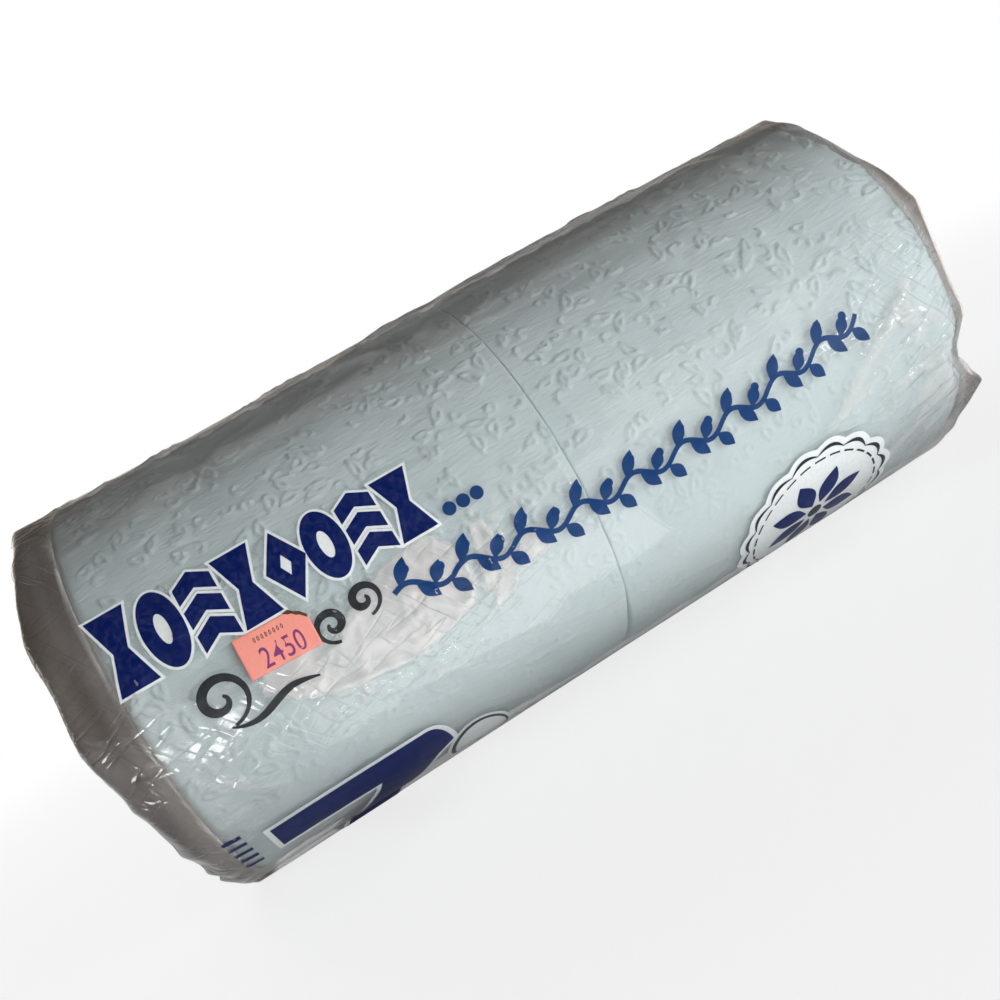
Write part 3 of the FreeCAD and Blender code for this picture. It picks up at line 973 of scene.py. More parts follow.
def tissue_material():
    material, tree = new_material("embossed_creped_tissue")
    place_on = add(tree, "ShaderNodeTexCoord").outputs["Object"]
    stretch = add(tree, "ShaderNodeMapping", Vector=place_on, Scale=(0.22, 1.0, 1.0))
    crepe = add(tree, "ShaderNodeTexNoise", Vector=stretch.outputs[0], Scale=1.2 / CREPE_SPACING, Detail=3.0)
    fuzz = add(tree, "ShaderNodeTexNoise", Vector=place_on, Scale=2400.0, Detail=2.0)
    cloud = add(tree, "ShaderNodeTexNoise", Vector=place_on, Scale=45.0, Detail=3.0)
    crepe_bump = add(tree, "ShaderNodeBump", Height=crepe.outputs["Fac"], Strength=0.6, Distance=0.0005)
    bump = add(tree, "ShaderNodeBump", Height=fuzz.outputs["Fac"], Strength=0.3, Distance=0.0001,
               Normal=crepe_bump.outputs["Normal"])
    tone = add(tree, "ShaderNodeMix", {"data_type": "RGBA"}, Factor=cloud.outputs["Fac"])
    colours = [s for s in tone.inputs if s.type == "RGBA"]
    colours[0].default_value = linear(TISSUE)
    colours[1].default_value = linear(TISSUE_SHADE)
    mixed = next(s for s in tone.outputs if s.type == "RGBA")
    # On the end faces the edges of the turns show as fine rings round the roll's axis, with painted shade in the
    # gaps between them and a bump.
    parts = add(tree, "ShaderNodeSeparateXYZ", Vector=place_on)
    across = add(tree, "ShaderNodeMath", {"operation": "ABSOLUTE"})
    tree.links.new(parts.outputs["Y"], across.inputs[0])
    centred = add(tree, "ShaderNodeCombineXYZ", Y=across.outputs[0], Z=parts.outputs["Z"])
    from_axis = add(tree, "ShaderNodeVectorMath", {"operation": "DISTANCE"}, Vector=centred.outputs[0])
    from_axis.inputs[1].default_value = (0, COLUMN_Y * MM, AXIS_Z * MM)
    turns = add(tree, "ShaderNodeTexNoise", {"noise_dimensions": "1D"}, W=from_axis.outputs["Value"],
                Scale=0.5 / TURN_GAP, Detail=3.0)
    facing_x = add(tree, "ShaderNodeSeparateXYZ", Vector=add(tree, "ShaderNodeNewGeometry").outputs["Normal"])
    end_on = add(tree, "ShaderNodeMath", {"operation": "ABSOLUTE"})
    tree.links.new(facing_x.outputs["X"], end_on.inputs[0])
    on_end = add(tree, "ShaderNodeMapRange", Value=end_on.outputs[0])
    on_end.inputs["From Min"].default_value = 0.75
    on_end.inputs["From Max"].default_value = 0.9
    gap = add(tree, "ShaderNodeMapRange", Value=turns.outputs["Fac"])
    gap.inputs["From Min"].default_value = 0.55
    gap.inputs["From Max"].default_value = 0.35
    # Painted shade darkens the gaps between turns, only on the end faces.
    painted_gap_shade = add(tree, "ShaderNodeMath", {"operation": "MULTIPLY"})
    tree.links.new(on_end.outputs["Result"], painted_gap_shade.inputs[0])
    tree.links.new(gap.outputs["Result"], painted_gap_shade.inputs[1])
    ringed_with_painted_shade = add(tree, "ShaderNodeMix", {"data_type": "RGBA"}, Factor=painted_gap_shade.outputs[0])
    lined_colours = [s for s in ringed_with_painted_shade.inputs if s.type == "RGBA"]
    tree.links.new(mixed, lined_colours[0])
    lined_colours[1].default_value = linear(TURN_GAP_PAINTED_SHADE)
    bump = add(tree, "ShaderNodeBump", Height=turns.outputs["Fac"], Strength=on_end.outputs["Result"],
               Distance=0.0008, Normal=bump.outputs["Normal"])
    shader = add(tree, "ShaderNodeBsdfPrincipled", Roughness=0.95, Normal=bump.outputs["Normal"],
                 Base_Color=next(s for s in ringed_with_painted_shade.outputs if s.type == "RGBA"))
    shader.inputs["Sheen Weight"].default_value = 0.15
    shader.inputs["Specular IOR Level"].default_value = 0.2
    finish_material(tree, shader.outputs[0])
    return material


tissue = tissue_material()
roll_names = ["front_left", "front_right", "rear_left", "rear_right"]
for index, place_name in enumerate(roll_names):
    roll = make_roll("tissue_roll_" + place_name, "paper_roll_" + place_name, 100 + 7 * index)
    dress(roll, tissue)
    print(roll.name, "faces", len(roll.data.polygons))

# %% [markdown]
# ## The card cores
# A core is two plies of brown card wound in a spiral and glued. The frame's tube has the right shape,
# so it stays, and only its material is new: a grey-brown board with soft patches and a fibre bump.

# %% Spiral-wound core card
def core_material():
    material, tree = new_material("spiral_wound_core_card")
    place_on = add(tree, "ShaderNodeTexCoord").outputs["Object"]
    fibres = add(tree, "ShaderNodeTexNoise", Vector=place_on, Scale=700.0, Detail=4.0)
    patches = add(tree, "ShaderNodeTexNoise", Vector=place_on, Scale=60.0, Detail=2.0)
    tone = add(tree, "ShaderNodeMix", {"data_type": "RGBA"}, Factor=patches.outputs["Fac"])
    colours = [s for s in tone.inputs if s.type == "RGBA"]
    colours[0].default_value = linear("#a98d6a")
    colours[1].default_value = linear("#8f7555")
    mixed = next(s for s in tone.outputs if s.type == "RGBA")
    bump = add(tree, "ShaderNodeBump", Height=fibres.outputs["Fac"], Strength=0.4, Distance=0.0002)
    shader = add(tree, "ShaderNodeBsdfPrincipled", Base_Color=mixed, Roughness=0.9,
                 Normal=bump.outputs["Normal"])
    finish_material(tree, shader.outputs[0])
    return material


core_card = core_material()
for place_name in roll_names:
    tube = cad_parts["core_tube_" + place_name]
    tube.data.materials.clear()
    tube.data.materials.append(core_card)

# %% [markdown]
# ## Shapes for the print
# Ink sits on the film, so each printed shape is a thin patch that follows the film's own surface. A
# shape starts flat, as a filled curve with holes, and is cut into a fine grid. Each point is then laid
# on the film by the same function that made the film.

# %% Lay a flat shape on the film
PRINT_CELL = 1.6
film_x_grid = row_x[len(left_rows):len(left_rows) + len(body_x)]
film_s_grid = np.sort(film_columns)
film_lift_grid = film_lift(film_x_grid, film_s_grid)


def lift_at(x, s):
    """Read the film's lift between the grid's points."""
    i = np.clip(np.searchsorted(film_x_grid, x) - 1, 0, len(film_x_grid) - 2)
    j = np.clip(np.searchsorted(film_s_grid, s) - 1, 0, len(film_s_grid) - 2)
    fx = np.clip((x - film_x_grid[i]) / (film_x_grid[i + 1] - film_x_grid[i]), 0, 1)
    fs = np.clip((s - film_s_grid[j]) / (film_s_grid[j + 1] - film_s_grid[j]), 0, 1)
    low = film_lift_grid[i, j] * (1 - fx) + film_lift_grid[i + 1, j] * fx
    high = film_lift_grid[i, j + 1] * (1 - fx) + film_lift_grid[i + 1, j + 1] * fx
    return low * (1 - fs) + high * fs


def print_shape(name, loops, ink, above):
    """Fill closed loops of (x, s) points, and lay them on the film, a little above it."""
    curve = bpy.data.curves.new(name, "CURVE")
    curve.dimensions = "2D"
    curve.fill_mode = "BOTH"
    for loop in loops:
        spline = curve.splines.new("POLY")
        spline.points.add(len(loop) - 1)
        for point, (x, s) in zip(spline.points, loop):
            point.co = (x, s, 0, 1)
        spline.use_cyclic_u = True
    holder = bpy.data.objects.new(name + "_flat", curve)
    flat = bpy.data.meshes.new_from_object(holder)
    bpy.data.objects.remove(holder)
    work = bmesh.new()
    work.from_mesh(flat)
    xs = [v.co.x for v in work.verts]
    ss = [v.co.y for v in work.verts]
    for axis, low, high in ((0, min(xs), max(xs)), (1, min(ss), max(ss))):
        first = math.ceil(low / PRINT_CELL)
        for k in range(first, int(math.floor(high / PRINT_CELL)) + 1):
            where = [0, 0, 0]
            where[axis] = k * PRINT_CELL
            normal = [0, 0, 0]
            normal[axis] = 1
            everything = work.verts[:] + work.edges[:] + work.faces[:]
            bmesh.ops.bisect_plane(work, geom=everything, plane_co=where, plane_no=normal)
    points = np.array([v.co[:] for v in work.verts])
    x, s = points[:, 0], points[:, 1]
    laid = place(x, s, FILM_RADIUS + lift_at(x, s) + above) * MM
    for vertex, co in zip(work.verts, laid):
        vertex.co = co
    bmesh.ops.recalc_face_normals(work, faces=work.faces[:])
    mesh = bpy.data.meshes.new(name)
    work.to_mesh(mesh)
    work.free()
    mesh.polygons.foreach_set("use_smooth", [True] * len(mesh.polygons))
    piece = bpy.data.objects.new(name, mesh)
    bpy.context.scene.collection.objects.link(piece)
    dress(piece, ink)
    # The film lies so close to the paper that its print throws no shadow worth showing.
    piece.visible_shadow = False
    return piece


# %% [markdown]
# ## Flexographic ink
# Film like this is printed by rubber plates with thin, quick-drying ink. Dense colours are opaque and
# satin, and the white that backs them lets a trace of the paper through.

# %% Inks
def ink_material(name, colour, cover):
    material, tree = new_material(name)
    place_on = add(tree, "ShaderNodeTexCoord").outputs["Object"]
    grain = add(tree, "ShaderNodeTexNoise", Vector=place_on, Scale=900.0, Detail=2.0)
    crinkle = add(tree, "ShaderNodeTexNoise", Vector=place_on, Scale=260.0, Detail=3.0)
    bump = add(tree, "ShaderNodeBump", Height=crinkle.outputs["Fac"], Strength=0.25, Distance=0.0004)
    density = add(tree, "ShaderNodeMapRange", Value=grain.outputs["Fac"])
    density.inputs["From Min"].default_value = 0.3
    density.inputs["From Max"].default_value = 0.6
    density.inputs["To Min"].default_value = cover - 0.06
    density.inputs["To Max"].default_value = cover
    shader = add(tree, "ShaderNodeBsdfPrincipled", Base_Color=linear(colour), Roughness=0.3,
                 Normal=bump.outputs["Normal"], Alpha=density.outputs["Result"])
    # The thin dry ink is less glossy than the film round it.
    shader.inputs["Specular IOR Level"].default_value = 0.2
    finish_material(tree, shader.outputs[0])
    return material


NAVY = ink_material("flexographic_ink_navy", "#031858", 1.0)
BLUE = ink_material("flexographic_ink_blue", "#04366c", 0.99)
BLACK = ink_material("flexographic_ink_black", "#22242a", 0.97)
WHITE = ink_material("flexographic_ink_white", "#eef2f2", 0.9)
INK_LIFT = 0.20
BACKING_LIFT = 0.08

# %% [markdown]
# ## Simple outlines
# All the print is made of a few kinds of closed loop: a disc, a polygon, a leaf, and a ribbon that
# follows a line with a changing width. An outset polygon gives the white backing its margin.

# %% Loops to print
def disc(x, s, radius, count=40, squash=1.0):
    turn = np.linspace(0, 2 * math.pi, count, endpoint=False)
    return [(x + radius * math.cos(a), s + squash * radius * math.sin(a)) for a in turn]


def outset(loop, distance):
    """Move each side of a polygon outward by a distance, with square corners."""
    points = [Vector(p) for p in loop]
    area = sum(a.x * b.y - b.x * a.y for a, b in zip(points, points[1:] + points[:1]))
    side = 1 if area > 0 else -1
    moved = []
    for before, here, after in zip(points[-1:] + points[:-1], points, points[1:] + points[:1]):
        into = (here - before).normalized()
        out = (after - here).normalized()
        n1 = Vector((into.y, -into.x)) * side
        n2 = Vector((out.y, -out.x)) * side
        both = n1 + n2
        scale = distance / max(0.35, both.dot(n1))
        moved.append(tuple(here + both * scale))
    return moved


def ribbon(points, widths):
    """A closed loop round a line, with the width given at each point."""
    points = np.asarray(points, dtype=float)
    widths = np.broadcast_to(widths, len(points))
    along = np.gradient(points, axis=0)
    along /= np.linalg.norm(along, axis=1)[:, None]
    aside = np.stack([-along[:, 1], along[:, 0]], axis=-1) * widths[:, None] / 2
    return [tuple(p) for p in np.concatenate([points + aside, (points - aside)[::-1]])]


def leaf(x, s, length, width, lean, count=12):
    """A pointed oval that starts at x, s and leans by an angle."""
    t = np.linspace(0, 1, count)
    half = width / 2 * np.sin(math.pi * t)
    edge = np.concatenate([np.stack([length * t, half], -1), np.stack([length * t, -half], -1)[::-1][1:-1]])
    c, n = math.cos(lean), math.sin(lean)
    return [(x + c * a - n * b, s + n * a + c * b) for a, b in edge]


# %% [markdown]
# ## The large band
# The pack shows a bold navy band with a white edge near its left end. It is filled here with a plain
# quilt border: lozenges, rings, hourglasses and stacked chevrons of the same height and weight.

# %% Quilt border in navy
BAND_LEFT = -109.5
BAND_PITCH = 9.85
WHITE_EDGE = 0.6


def band_middle(x):
    """The band sinks a little toward its right end."""
    return 16.7 - 3.6 * (x - BAND_LEFT) / 76


def band_half(x):
    """It also grows a little lower."""
    return 9.4 - 1.4 * (x - BAND_LEFT) / 76


def lozenge(x, s, h):
    outer = [(x - 5.0, s), (x, s + h), (x + 5.0, s), (x, s - h)]
    inner = [(x - 1.3, s), (x, s + 2.6), (x + 1.3, s), (x, s - 2.6)]
    return [[outer, inner]]


def hourglass(x, s, h):
    outer = [(x - 4.6, s + h), (x + 4.6, s + h), (x + 1.7, s), (x + 4.6, s - h), (x - 4.6, s - h), (x - 1.7, s)]
    return [[outer]]


def oval_ring(x, s, h):
    return [[disc(x, s, 4.8, squash=h / 4.8), disc(x, s, 1.45, squash=h / 3.6)]]


def chevrons(x, s, h):
    made = []
    for k in (-1, 0, 1):
        base = s + 0.65 * h * k - 0.36 * h
        made.append([[(x - 4.5, base), (x, base + 0.28 * h), (x + 4.5, base),
                      (x + 4.5, base + 0.46 * h), (x, base + 0.75 * h), (x - 4.5, base + 0.46 * h)]])
    return made


motifs = [hourglass, oval_ring, chevrons, hourglass, lozenge, oval_ring, chevrons, hourglass]
band_loops = []
backing_loops = []
for index, motif in enumerate(motifs):
    x = BAND_LEFT + BAND_PITCH * (index + 0.5)
    for shape in motif(x, band_middle(x), band_half(x)):
        band_loops += shape
        backing_loops.append(outset(shape[0], WHITE_EDGE))
print_shape("ink_quilt_border", band_loops, NAVY, INK_LIFT)
for index, loop in enumerate(backing_loops):
    print_shape("ink_quilt_backing_%02d" % index, [loop], WHITE, BACKING_LIFT)

# %% [markdown]
# Three round dots follow the band, as on the pack.

# %% Three dots
dot_loops = [disc(x, 6.9, 1.65) for x in (-27.0, -23.3, -19.6)]
print_shape("ink_dots", dot_loops, BLUE, INK_LIFT)


# %% [markdown]
# ## Scrollwork and vine
# Where the pack has a line of fine lettering, this one has a black scroll and then a blue vine of
# leaves and dots, with the same height, colour and gentle sag.

# %% The black scroll
def spiral(x, s, radius, turns, start, way, count=60):
    t = np.linspace(0, 1, count)
    angle = start + way * turns * 2 * math.pi * t
    r = radius * (1 - 0.86 * t)
    return np.stack([x + r * np.cos(angle), s + 0.95 * r * np.sin(angle)], axis=-1)


scroll_loops = []
scroll_places = [(-92.0, -3.6, 6.9, 1), (-63.2, -2.0, 4.3, -1), (-54.4, -0.6, 4.3, 1)]
for x, s, radius, way in scroll_places:
    line = spiral(x, s, radius, 1.35, -math.pi / 2, way)
    widths = 0.75 + (0.14 * radius + 0.55) * np.sin(np.linspace(0, math.pi, len(line))) ** 1.5
    scroll_loops.append(ribbon(line, widths))
tail_t = np.linspace(0, 1, 40)
tail = np.stack([-93 + 22 * tail_t, -10.2 - 1.6 * np.sin(tail_t * 2 * math.pi) * (1 - 0.3 * tail_t)], axis=-1)
scroll_loops.append(ribbon(tail, 0.4 + 1.4 * np.sin(tail_t * math.pi)))
for index, loop in enumerate(scroll_loops):
    print_shape("ink_scroll_%d" % index, [loop], BLACK, INK_LIFT)

# %% The blue vine
VINE_START = -48.0
VINE_END = 88.0
VINE_WAVE = 15.0


def vine_middle(x):
    return -3.4 - 6.4 * np.sin(math.pi * (np.asarray(x) - VINE_START) / (VINE_END - VINE_START)) ** 0.8


def vine_line(x):
    return vine_middle(x) + 1.7 * np.sin(2 * math.pi * (x - VINE_START) / VINE_WAVE)


vine_x = np.linspace(VINE_START + 0.1, VINE_END - 0.1, 260)
stem = np.stack([vine_x, vine_line(vine_x)], axis=-1)
vine_loops = [ribbon(stem, 1.3)]
leaf_count = int((VINE_END - VINE_START) / (VINE_WAVE / 4))
for index in range(leaf_count):
    x = VINE_START + (index + 0.5) * VINE_WAVE / 4
    up = 1 if index % 2 == 0 else -1
    long = 6.8 if index % 4 < 2 else 5.8
    stem_s = float(vine_line(x))
    vine_loops.append(leaf(x, stem_s + 0.2 * up, long, 3.3, up * 0.95))
    if index % 2 == 1:
        vine_loops.append(disc(x - 0.8, stem_s + 3.8, 1.15, count=16))
for index, loop in enumerate(vine_loops):
    print_shape("ink_vine_%02d" % index, [loop], BLUE, INK_LIFT)

# %% [markdown]
# ## The navy wave
# A heavy navy bar with a white edge starts near the lower edge and sweeps round under the pack. A thin
# black ring on a white ground follows it, mostly out of sight.

# %% Bar that turns into a wave
bar_top = [(-100, -43), (-57, -43)]
sweep_out = [(-57 + 5.5 * math.sin(a), -43 - 14 * (1 - math.cos(a)) - 0.0) for a in np.linspace(0.2, 1.4, 8)]
sweep_down = [(-54 - 26 * t, -56 - 46 * t ** 1.2) for t in np.linspace(0.1, 1, 12)]
sweep_back = [(-92 + 20 * t, -98 + 42 * t ** 0.8) for t in np.linspace(0, 1, 12)]
bar_low = [(-72.5, -54.9), (-100, -54.2)]
wave_loop = bar_top + sweep_out + sweep_down + sweep_back[1:-1] + bar_low
print_shape("ink_wave", [wave_loop], NAVY, INK_LIFT)
print_shape("ink_wave_backing", [outset(wave_loop, 1.4)], WHITE, BACKING_LIFT)
tick_loops = []
for k in range(5):
    s = -36 - 4.2 * k
    tick_loops.append([(-110, s), (-105.6, s - 0.8), (-105.6, s - 2.4), (-110, s - 1.6)])
print_shape("ink_ticks", tick_loops, NAVY, INK_LIFT)
RING_X = -44.8
RING_S = -67.0
print_shape("ink_ring", [disc(RING_X, RING_S, 8.8, squash=1.6), disc(RING_X + 0.3, RING_S - 0.6, 7.9, squash=1.66)],
            BLACK, INK_LIFT)
print_shape("ink_ring_ground", [disc(RING_X, RING_S, 9.8, squash=1.55)], WHITE, BACKING_LIFT)

# %% [markdown]
# ## The scalloped seal
# A white seal with a scalloped black line and a dashed ring is common on packs like this. Its middle
# holds a plain eight-petal rosette.

# %% Seal
SEAL_X = 65.0
SEAL_S = -55.0
SEAL_RADIUS = 26.5
LOBES = 16


def scallop(radius, count=288, bulge=1.5):
    loop = []
    for a in np.linspace(0, 2 * math.pi, count, endpoint=False):
        r = radius + bulge * abs(math.sin(a * LOBES / 2)) - bulge
        loop.append((SEAL_X + r * math.cos(a), SEAL_S + r * math.sin(a)))
    return loop


print_shape("ink_seal_ground", [scallop(SEAL_RADIUS)], WHITE, BACKING_LIFT)
# Each scallop is a crescent: its outer edge bulges more than its inner edge.
print_shape("ink_seal_scallops", [scallop(SEAL_RADIUS - 1.7, bulge=2.0),
                                  scallop(SEAL_RADIUS - 2.9, bulge=1.1)], BLACK, INK_LIFT)
dash_loops = []
for k in range(26):
    a = np.linspace(0, 0.17, 7) + k * 2 * math.pi / 26
    line = np.stack([SEAL_X + 21.0 * np.cos(a), SEAL_S + 21.0 * np.sin(a)], axis=-1)
    dash_loops.append(ribbon(line, 0.6))
print_shape("ink_seal_dashes", dash_loops, BLACK, INK_LIFT)
petal_loops = []
for k in range(8):
    lean = (k + 0.5) * math.pi / 4
    petal_loops.append(leaf(SEAL_X + 3.4 * math.cos(lean), SEAL_S + 3.4 * math.sin(lean), 13.0, 6.2, lean))
print_shape("ink_seal_petals", petal_loops, NAVY, INK_LIFT)
print_shape("ink_seal_eye", [disc(SEAL_X, SEAL_S, 2.4, count=24)], BLACK, INK_LIFT)


# %% [markdown]
# ## The price label
# A small salmon label from a price gun is stuck on the film. It is thin paper with a slightly torn
# corner, so it is a fine grid laid on the film with a real thickness.

# %% Label paper
label_low, label_high = box_mm("price_label")
LABEL_LEFT = label_low[0] + 0.3
LABEL_RIGHT = label_high[0] - 0.3
LABEL_MIDDLE_S = (label_low[2] + label_high[2]) / 2 - AXIS_Z
LABEL_HALF = 4.9


def label_material():
    material, tree = new_material("salmon_label_paper")
    place_on = add(tree, "ShaderNodeTexCoord").outputs["Object"]
    fibres = add(tree, "ShaderNodeTexNoise", Vector=place_on, Scale=1500.0, Detail=3.0)
    tone = add(tree, "ShaderNodeMix", {"data_type": "RGBA"}, Factor=fibres.outputs["Fac"])
    colours = [s for s in tone.inputs if s.type == "RGBA"]
    colours[0].default_value = linear("#fba091")
    colours[1].default_value = linear("#f29485")
    mixed = next(s for s in tone.outputs if s.type == "RGBA")
    bump = add(tree, "ShaderNodeBump", Height=fibres.outputs["Fac"], Strength=0.2, Distance=0.0001)
    shader = add(tree, "ShaderNodeBsdfPrincipled", Base_Color=mixed, Roughness=0.7,
                 Normal=bump.outputs["Normal"])
    finish_material(tree, shader.outputs[0])
    return material


def lay_on_label(x, s, above):
    """Turn label coordinates, leaning two degrees, into places on the film."""
    lean = math.radians(-2.5)
    mx = (LABEL_LEFT + LABEL_RIGHT) / 2
    dx = x - mx
    wx = mx + dx * math.cos(lean) - s * math.sin(lean)
    ws = LABEL_MIDDLE_S + dx * math.sin(lean) + s * math.cos(lean)
    return place(wx, ws, FILM_RADIUS + lift_at(wx, ws) + above)


label_x = np.linspace(LABEL_LEFT, LABEL_RIGHT, 44)
label_s = np.linspace(-LABEL_HALF, LABEL_HALF, 26)
grid_lx, grid_ls = np.meshgrid(label_x, label_s, indexing="ij")
# The torn corner is at the upper right, where the points close up along a slanted edge.
corner = np.clip(grid_lx - (LABEL_RIGHT - 3.4), 0, None)
top_limit = LABEL_HALF - 0.85 * corner
grid_ls = np.minimum(grid_ls, top_limit)
label_points = lay_on_label(grid_lx, grid_ls, 0.16)
label = make_object("price_label_paper", label_points, grid_faces(44, 26, 0, closed=False))
thick = label.modifiers.new("thickness", "SOLIDIFY")
thick.thickness = 0.1 * MM
dress(label, label_material())
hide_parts("price_label")

# %% [markdown]
# The stamped price is plain digits, in the purple of a price gun's ink roller.

# %% Digits on the label
def label_digits(text, size, x, s, ink):
    font = bpy.data.curves.new("stamped_digits", "FONT")
    font.body = text
    font.size = size
    font.space_character = 1.1
    font.offset = 0.02
    holder = bpy.data.objects.new("digits_flat", font)
    flat = bpy.data.meshes.new_from_object(holder)
    bpy.data.objects.remove(holder)
    work = bmesh.new()
    work.from_mesh(flat)
    bmesh.ops.triangulate(work, faces=work.faces[:])
    points = np.array([v.co[:] for v in work.verts])
    laid = lay_on_label(x + points[:, 0] * 0.72, s + points[:, 1], 0.27) * MM
    for vertex, co in zip(work.verts, laid):
        vertex.co = co
    mesh = bpy.data.meshes.new("stamped_digits")
    work.to_mesh(mesh)
    work.free()
    piece = bpy.data.objects.new("stamped_digits", mesh)
    bpy.context.scene.collection.objects.link(piece)
    dress(piece, ink)
    return piece


PURPLE = ink_material("stamp_ink_purple", "#8a4180", 0.9)
GLUE = ink_material("bared_label_glue", "#5c4031", 0.96)
tear = [(-71.4, 5.7), (-70.0, 5.9), (-68.9, 4.8), (-67.9, 4.3), (-66.7, 2.9), (-67.0, 2.3), (-68.2, 3.6),
        (-68.9, 3.9), (-69.6, 4.7), (-70.4, 4.9)]
print_shape("label_tear", [tear], GLUE, 0.27)
label_digits("2450", 6.8, LABEL_LEFT + 3.9, -4.0, PURPLE)
label_digits("0 0 0 0 0 0 0 0", 1.5, LABEL_LEFT + 4.2, 2.3, BLACK)

# %% [markdown]
# ## Floor, light and camera
# The floor is a plain pale sheet that keeps the pack's shadow. The main light comes low from the front,
# as in the picture, so the upper edge of the narrow side falls into shade.

# %% Studio
FLOOR_GLOW_NEAR = 0.78
FLOOR_GLOW_FAR = 1.0


def studio_material():
    material, tree = new_material("pale_studio_paper")
    rays = add(tree, "ShaderNodeLightPath")
    sheet = add(tree, "ShaderNodeBsdfDiffuse", Color=linear("#f4f4f4"))
    glow = add(tree, "ShaderNodeEmission", Color=(1, 1, 1, 1), Strength=1.0)
    # Far from the pack the sheet fades to the white of the world, so that no horizon shows.
    place_on = add(tree, "ShaderNodeTexCoord").outputs["Object"]
    away = add(tree, "ShaderNodeVectorMath", {"operation": "LENGTH"}, Vector=place_on)
    fade = add(tree, "ShaderNodeMapRange", {"interpolation_type": "SMOOTHSTEP"}, Value=away.outputs["Value"])
    fade.inputs["From Min"].default_value = 300 * MM
    fade.inputs["From Max"].default_value = 1300 * MM
    fade.inputs["To Min"].default_value = FLOOR_GLOW_NEAR
    fade.inputs["To Max"].default_value = FLOOR_GLOW_FAR
    share = add(tree, "ShaderNodeMath", {"operation": "MULTIPLY"})
    tree.links.new(rays.outputs["Is Camera Ray"], share.inputs[0])
    tree.links.new(fade.outputs["Result"], share.inputs[1])
    mix = add(tree, "ShaderNodeMixShader", Fac=share.outputs[0])
    tree.links.new(sheet.outputs[0], mix.inputs[1])
    tree.links.new(glow.outputs[0], mix.inputs[2])
    finish_material(tree, mix.outputs[0])
    return material


floor_size = 6000.0
floor_points = [(-floor_size, -floor_size, -0.3), (floor_size, -floor_size, -0.3),
                (floor_size, floor_size, -0.3), (-floor_size, floor_size, -0.3)]
floor = make_object("studio_floor", np.array(floor_points), [(0, 1, 2, 3)], smooth=False)
floor.data.materials.append(studio_material())

# The world is white where it is looked at, dimmer in reflections, and dimmer still as light.
WORLD_SEEN = 1.0
WORLD_GLOSS = 0.10
BACKDROP_GLOSS = 0.5
WORLD_LIGHT = 0.12
world = bpy.data.worlds.new("studio_world")
world.use_nodes = True
world.node_tree.nodes.clear()
tree = world.node_tree
rays = add(tree, "ShaderNodeLightPath")
seen = add(tree, "ShaderNodeMath", {"operation": "MAXIMUM"})
tree.links.new(rays.outputs["Is Camera Ray"], seen.inputs[0])
tree.links.new(rays.outputs["Is Transmission Ray"], seen.inputs[1])
# In reflections the room is bright low down behind the pack, where its pale backdrop hangs, and dim elsewhere.
direction = add(tree, "ShaderNodeSeparateXYZ", Vector=add(tree, "ShaderNodeTexCoord").outputs["Generated"])
low_down = add(tree, "ShaderNodeMapRange", Value=direction.outputs["Z"])
low_down.inputs["From Min"].default_value = 0.46
low_down.inputs["From Max"].default_value = 0.3
behind = add(tree, "ShaderNodeMapRange", Value=direction.outputs["Y"])
behind.inputs["From Min"].default_value = 0.1
behind.inputs["From Max"].default_value = 0.4
backdrop = add(tree, "ShaderNodeMath", {"operation": "MULTIPLY"})
tree.links.new(low_down.outputs["Result"], backdrop.inputs[0])
tree.links.new(behind.outputs["Result"], backdrop.inputs[1])
room_level = add(tree, "ShaderNodeMapRange", Value=backdrop.outputs[0])
room_level.inputs["To Min"].default_value = WORLD_GLOSS
room_level.inputs["To Max"].default_value = BACKDROP_GLOSS
gloss_level = add(tree, "ShaderNodeMapRange", Value=rays.outputs["Is Glossy Ray"])
gloss_level.inputs["To Min"].default_value = WORLD_LIGHT
tree.links.new(room_level.outputs["Result"], gloss_level.inputs["To Max"])
level = add(tree, "ShaderNodeMix", {"data_type": "FLOAT"}, Factor=seen.outputs[0])
tree.links.new(gloss_level.outputs["Result"], level.inputs[2])
level.inputs[3].default_value = WORLD_SEEN
# What the film mirrors is a little warm, like the walls of a room.
room = add(tree, "ShaderNodeMix", {"data_type": "RGBA"}, Factor=rays.outputs["Is Glossy Ray"])
room_tints = [socket for socket in room.inputs if socket.type == "RGBA"]
room_tints[0].default_value = (1, 1, 1, 1)
room_tints[1].default_value = linear("#f2e4d4")
sky = add(tree, "ShaderNodeBackground", Strength=level.outputs[0],
          Color=next(socket for socket in room.outputs if socket.type == "RGBA"))
add(tree, "ShaderNodeOutputWorld", Surface=sky.outputs[0])
bpy.context.scene.world = world


def soft_lamp(name, place_mm, aim_mm, width, height, watts):
    lamp = bpy.data.lights.new(name, "AREA")
    lamp.shape = "RECTANGLE"
    lamp.size = width * MM
    lamp.size_y = height * MM
    lamp.energy = watts
    holder = bpy.data.objects.new(name, lamp)
    bpy.context.scene.collection.objects.link(holder)
    start = Vector(place_mm) * MM
    holder.location = start
    holder.rotation_euler = (Vector(aim_mm) * MM - start).to_track_quat("-Z", "Y").to_euler()
    holder.visible_camera = False
    return holder


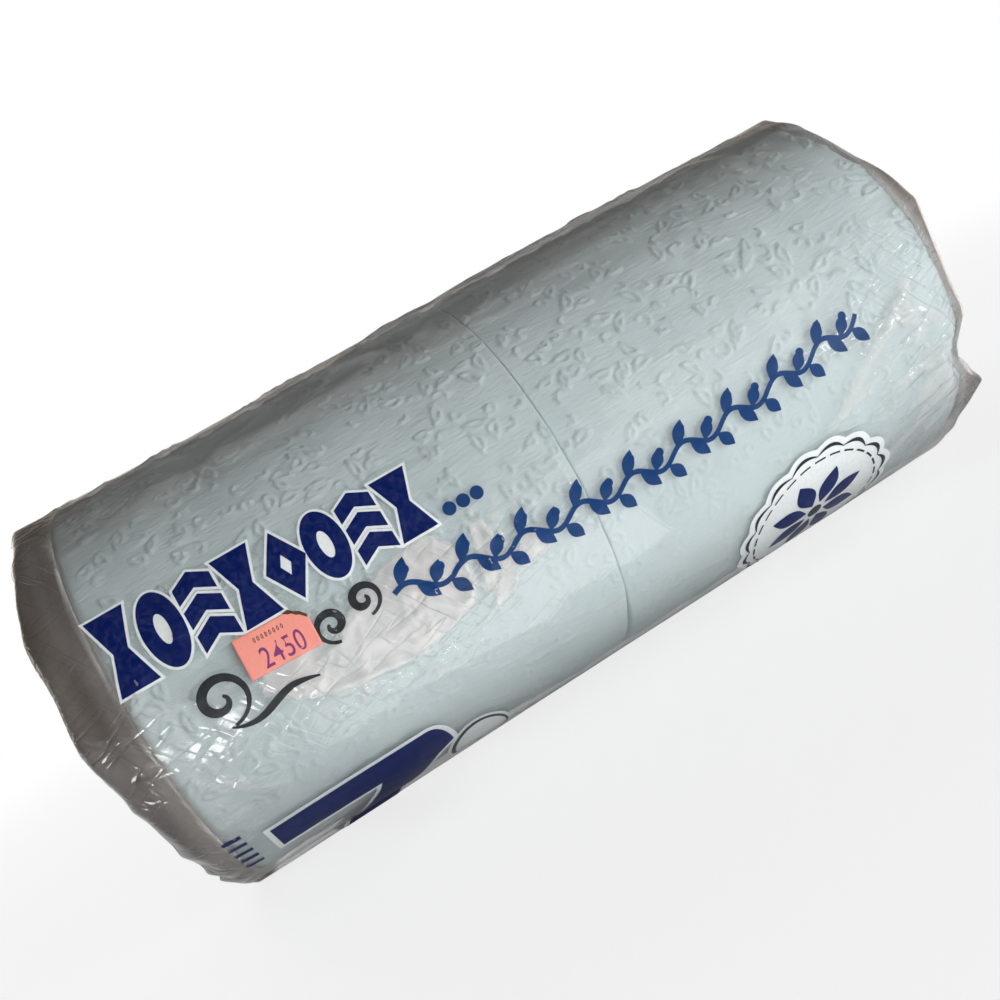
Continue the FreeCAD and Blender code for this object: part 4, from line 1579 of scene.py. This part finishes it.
PACK_MIDDLE = (0, 0, AXIS_Z)
key = soft_lamp("front_softbox", (540, -760, 170), PACK_MIDDLE, 1100, 180, 5.2)
key.visible_glossy = False
low_panel = soft_lamp("low_panel", (190, -300, 4), (190, -300, 400), 540, 380, 0.46)
low_panel.visible_glossy = False
right_panel = soft_lamp("right_panel", (380, -480, 60), (100, -110, 56), 260, 160, 0.30)
right_panel.visible_glossy = False
left_panel = soft_lamp("left_panel", (-330, -470, 60), (-100, -110, 56), 200, 160, 0.15)
left_panel.visible_glossy = False
top = soft_lamp("top_fill", (-300, 800, 1400), PACK_MIDDLE, 1200, 1000, 1.0)
top.visible_glossy = False
back = soft_lamp("back_fill", (-500, 1200, 740), PACK_MIDDLE, 1200, 900, 15.0)
back.visible_glossy = False
left_side = soft_lamp("left_fill", (-1400, 150, 260), PACK_MIDDLE, 700, 500, 6.0)
left_side.visible_glossy = False
right_side = soft_lamp("right_fill", (1400, 250, 260), PACK_MIDDLE, 700, 500, 6.0)
right_side.visible_glossy = False

# Lamps that only show as reflections: wide windows round the pack, and small bright strips on the floor
# in front of it, which make the glints on the creases.
# Each row: name, place, width, height, watts, all in millimetres.
reflected = [
    ("front_window", (900, -1300, 300), 900, 500, 0.8),
    ("back_window", (-500, 1500, 260), 900, 350, 0.8),
    ("top_window", (150, 380, 1500), 900, 350, 0.3),
    ("left_window", (-1400, 350, 400), 900, 350, 0.8),
    ("right_window", (1400, 450, 400), 900, 350, 0.8),
]
strips = [
    ("low_strip", (-26, -166, 3), 112, 96, 0.04),
    ("left_glint", (-116, -205, 3), 22, 50, 0.035),
    ("patch_glint", (-56, -172, 3), 26, 22, 0.03),
    ("right_glint", (180, -238, 3), 40, 60, 0.10),
]
for name, where, width, height, watts in reflected:
    soft_lamp(name, where, PACK_MIDDLE, width, height, watts).visible_diffuse = False
for name, (x, y, z), width, height, watts in strips:
    soft_lamp(name, (x, y, z), (x, y, 400), width, height, watts).visible_diffuse = False

# %% [markdown]
# The camera stands a foot away from the narrow side, a little to the left, and is turned about its own
# line of sight, since the pack runs up to the right in the picture.

# %% Camera
CAMERA_PLACE = (-63.1, -345.5, 79.5)
CAMERA_RIGHT = Vector((0.84171, -0.21396, -0.49573))
CAMERA_DOWN = Vector((-0.50142, 0.03078, -0.86465))
SENSOR = 36.0
LENS = 36.54
camera_data = bpy.data.cameras.new("camera")
camera_data.sensor_width = SENSOR
camera_data.lens = LENS
camera_data.clip_start = 0.01
camera = bpy.data.objects.new("camera", camera_data)
bpy.context.scene.collection.objects.link(camera)
up = -CAMERA_DOWN
back = CAMERA_RIGHT.cross(up)
turn = Matrix((CAMERA_RIGHT, up, back)).transposed().to_4x4()
camera.matrix_world = Matrix.Translation(Vector(CAMERA_PLACE) * MM) @ turn
bpy.context.scene.camera = camera
bpy.context.scene.view_settings.view_transform = "Standard"
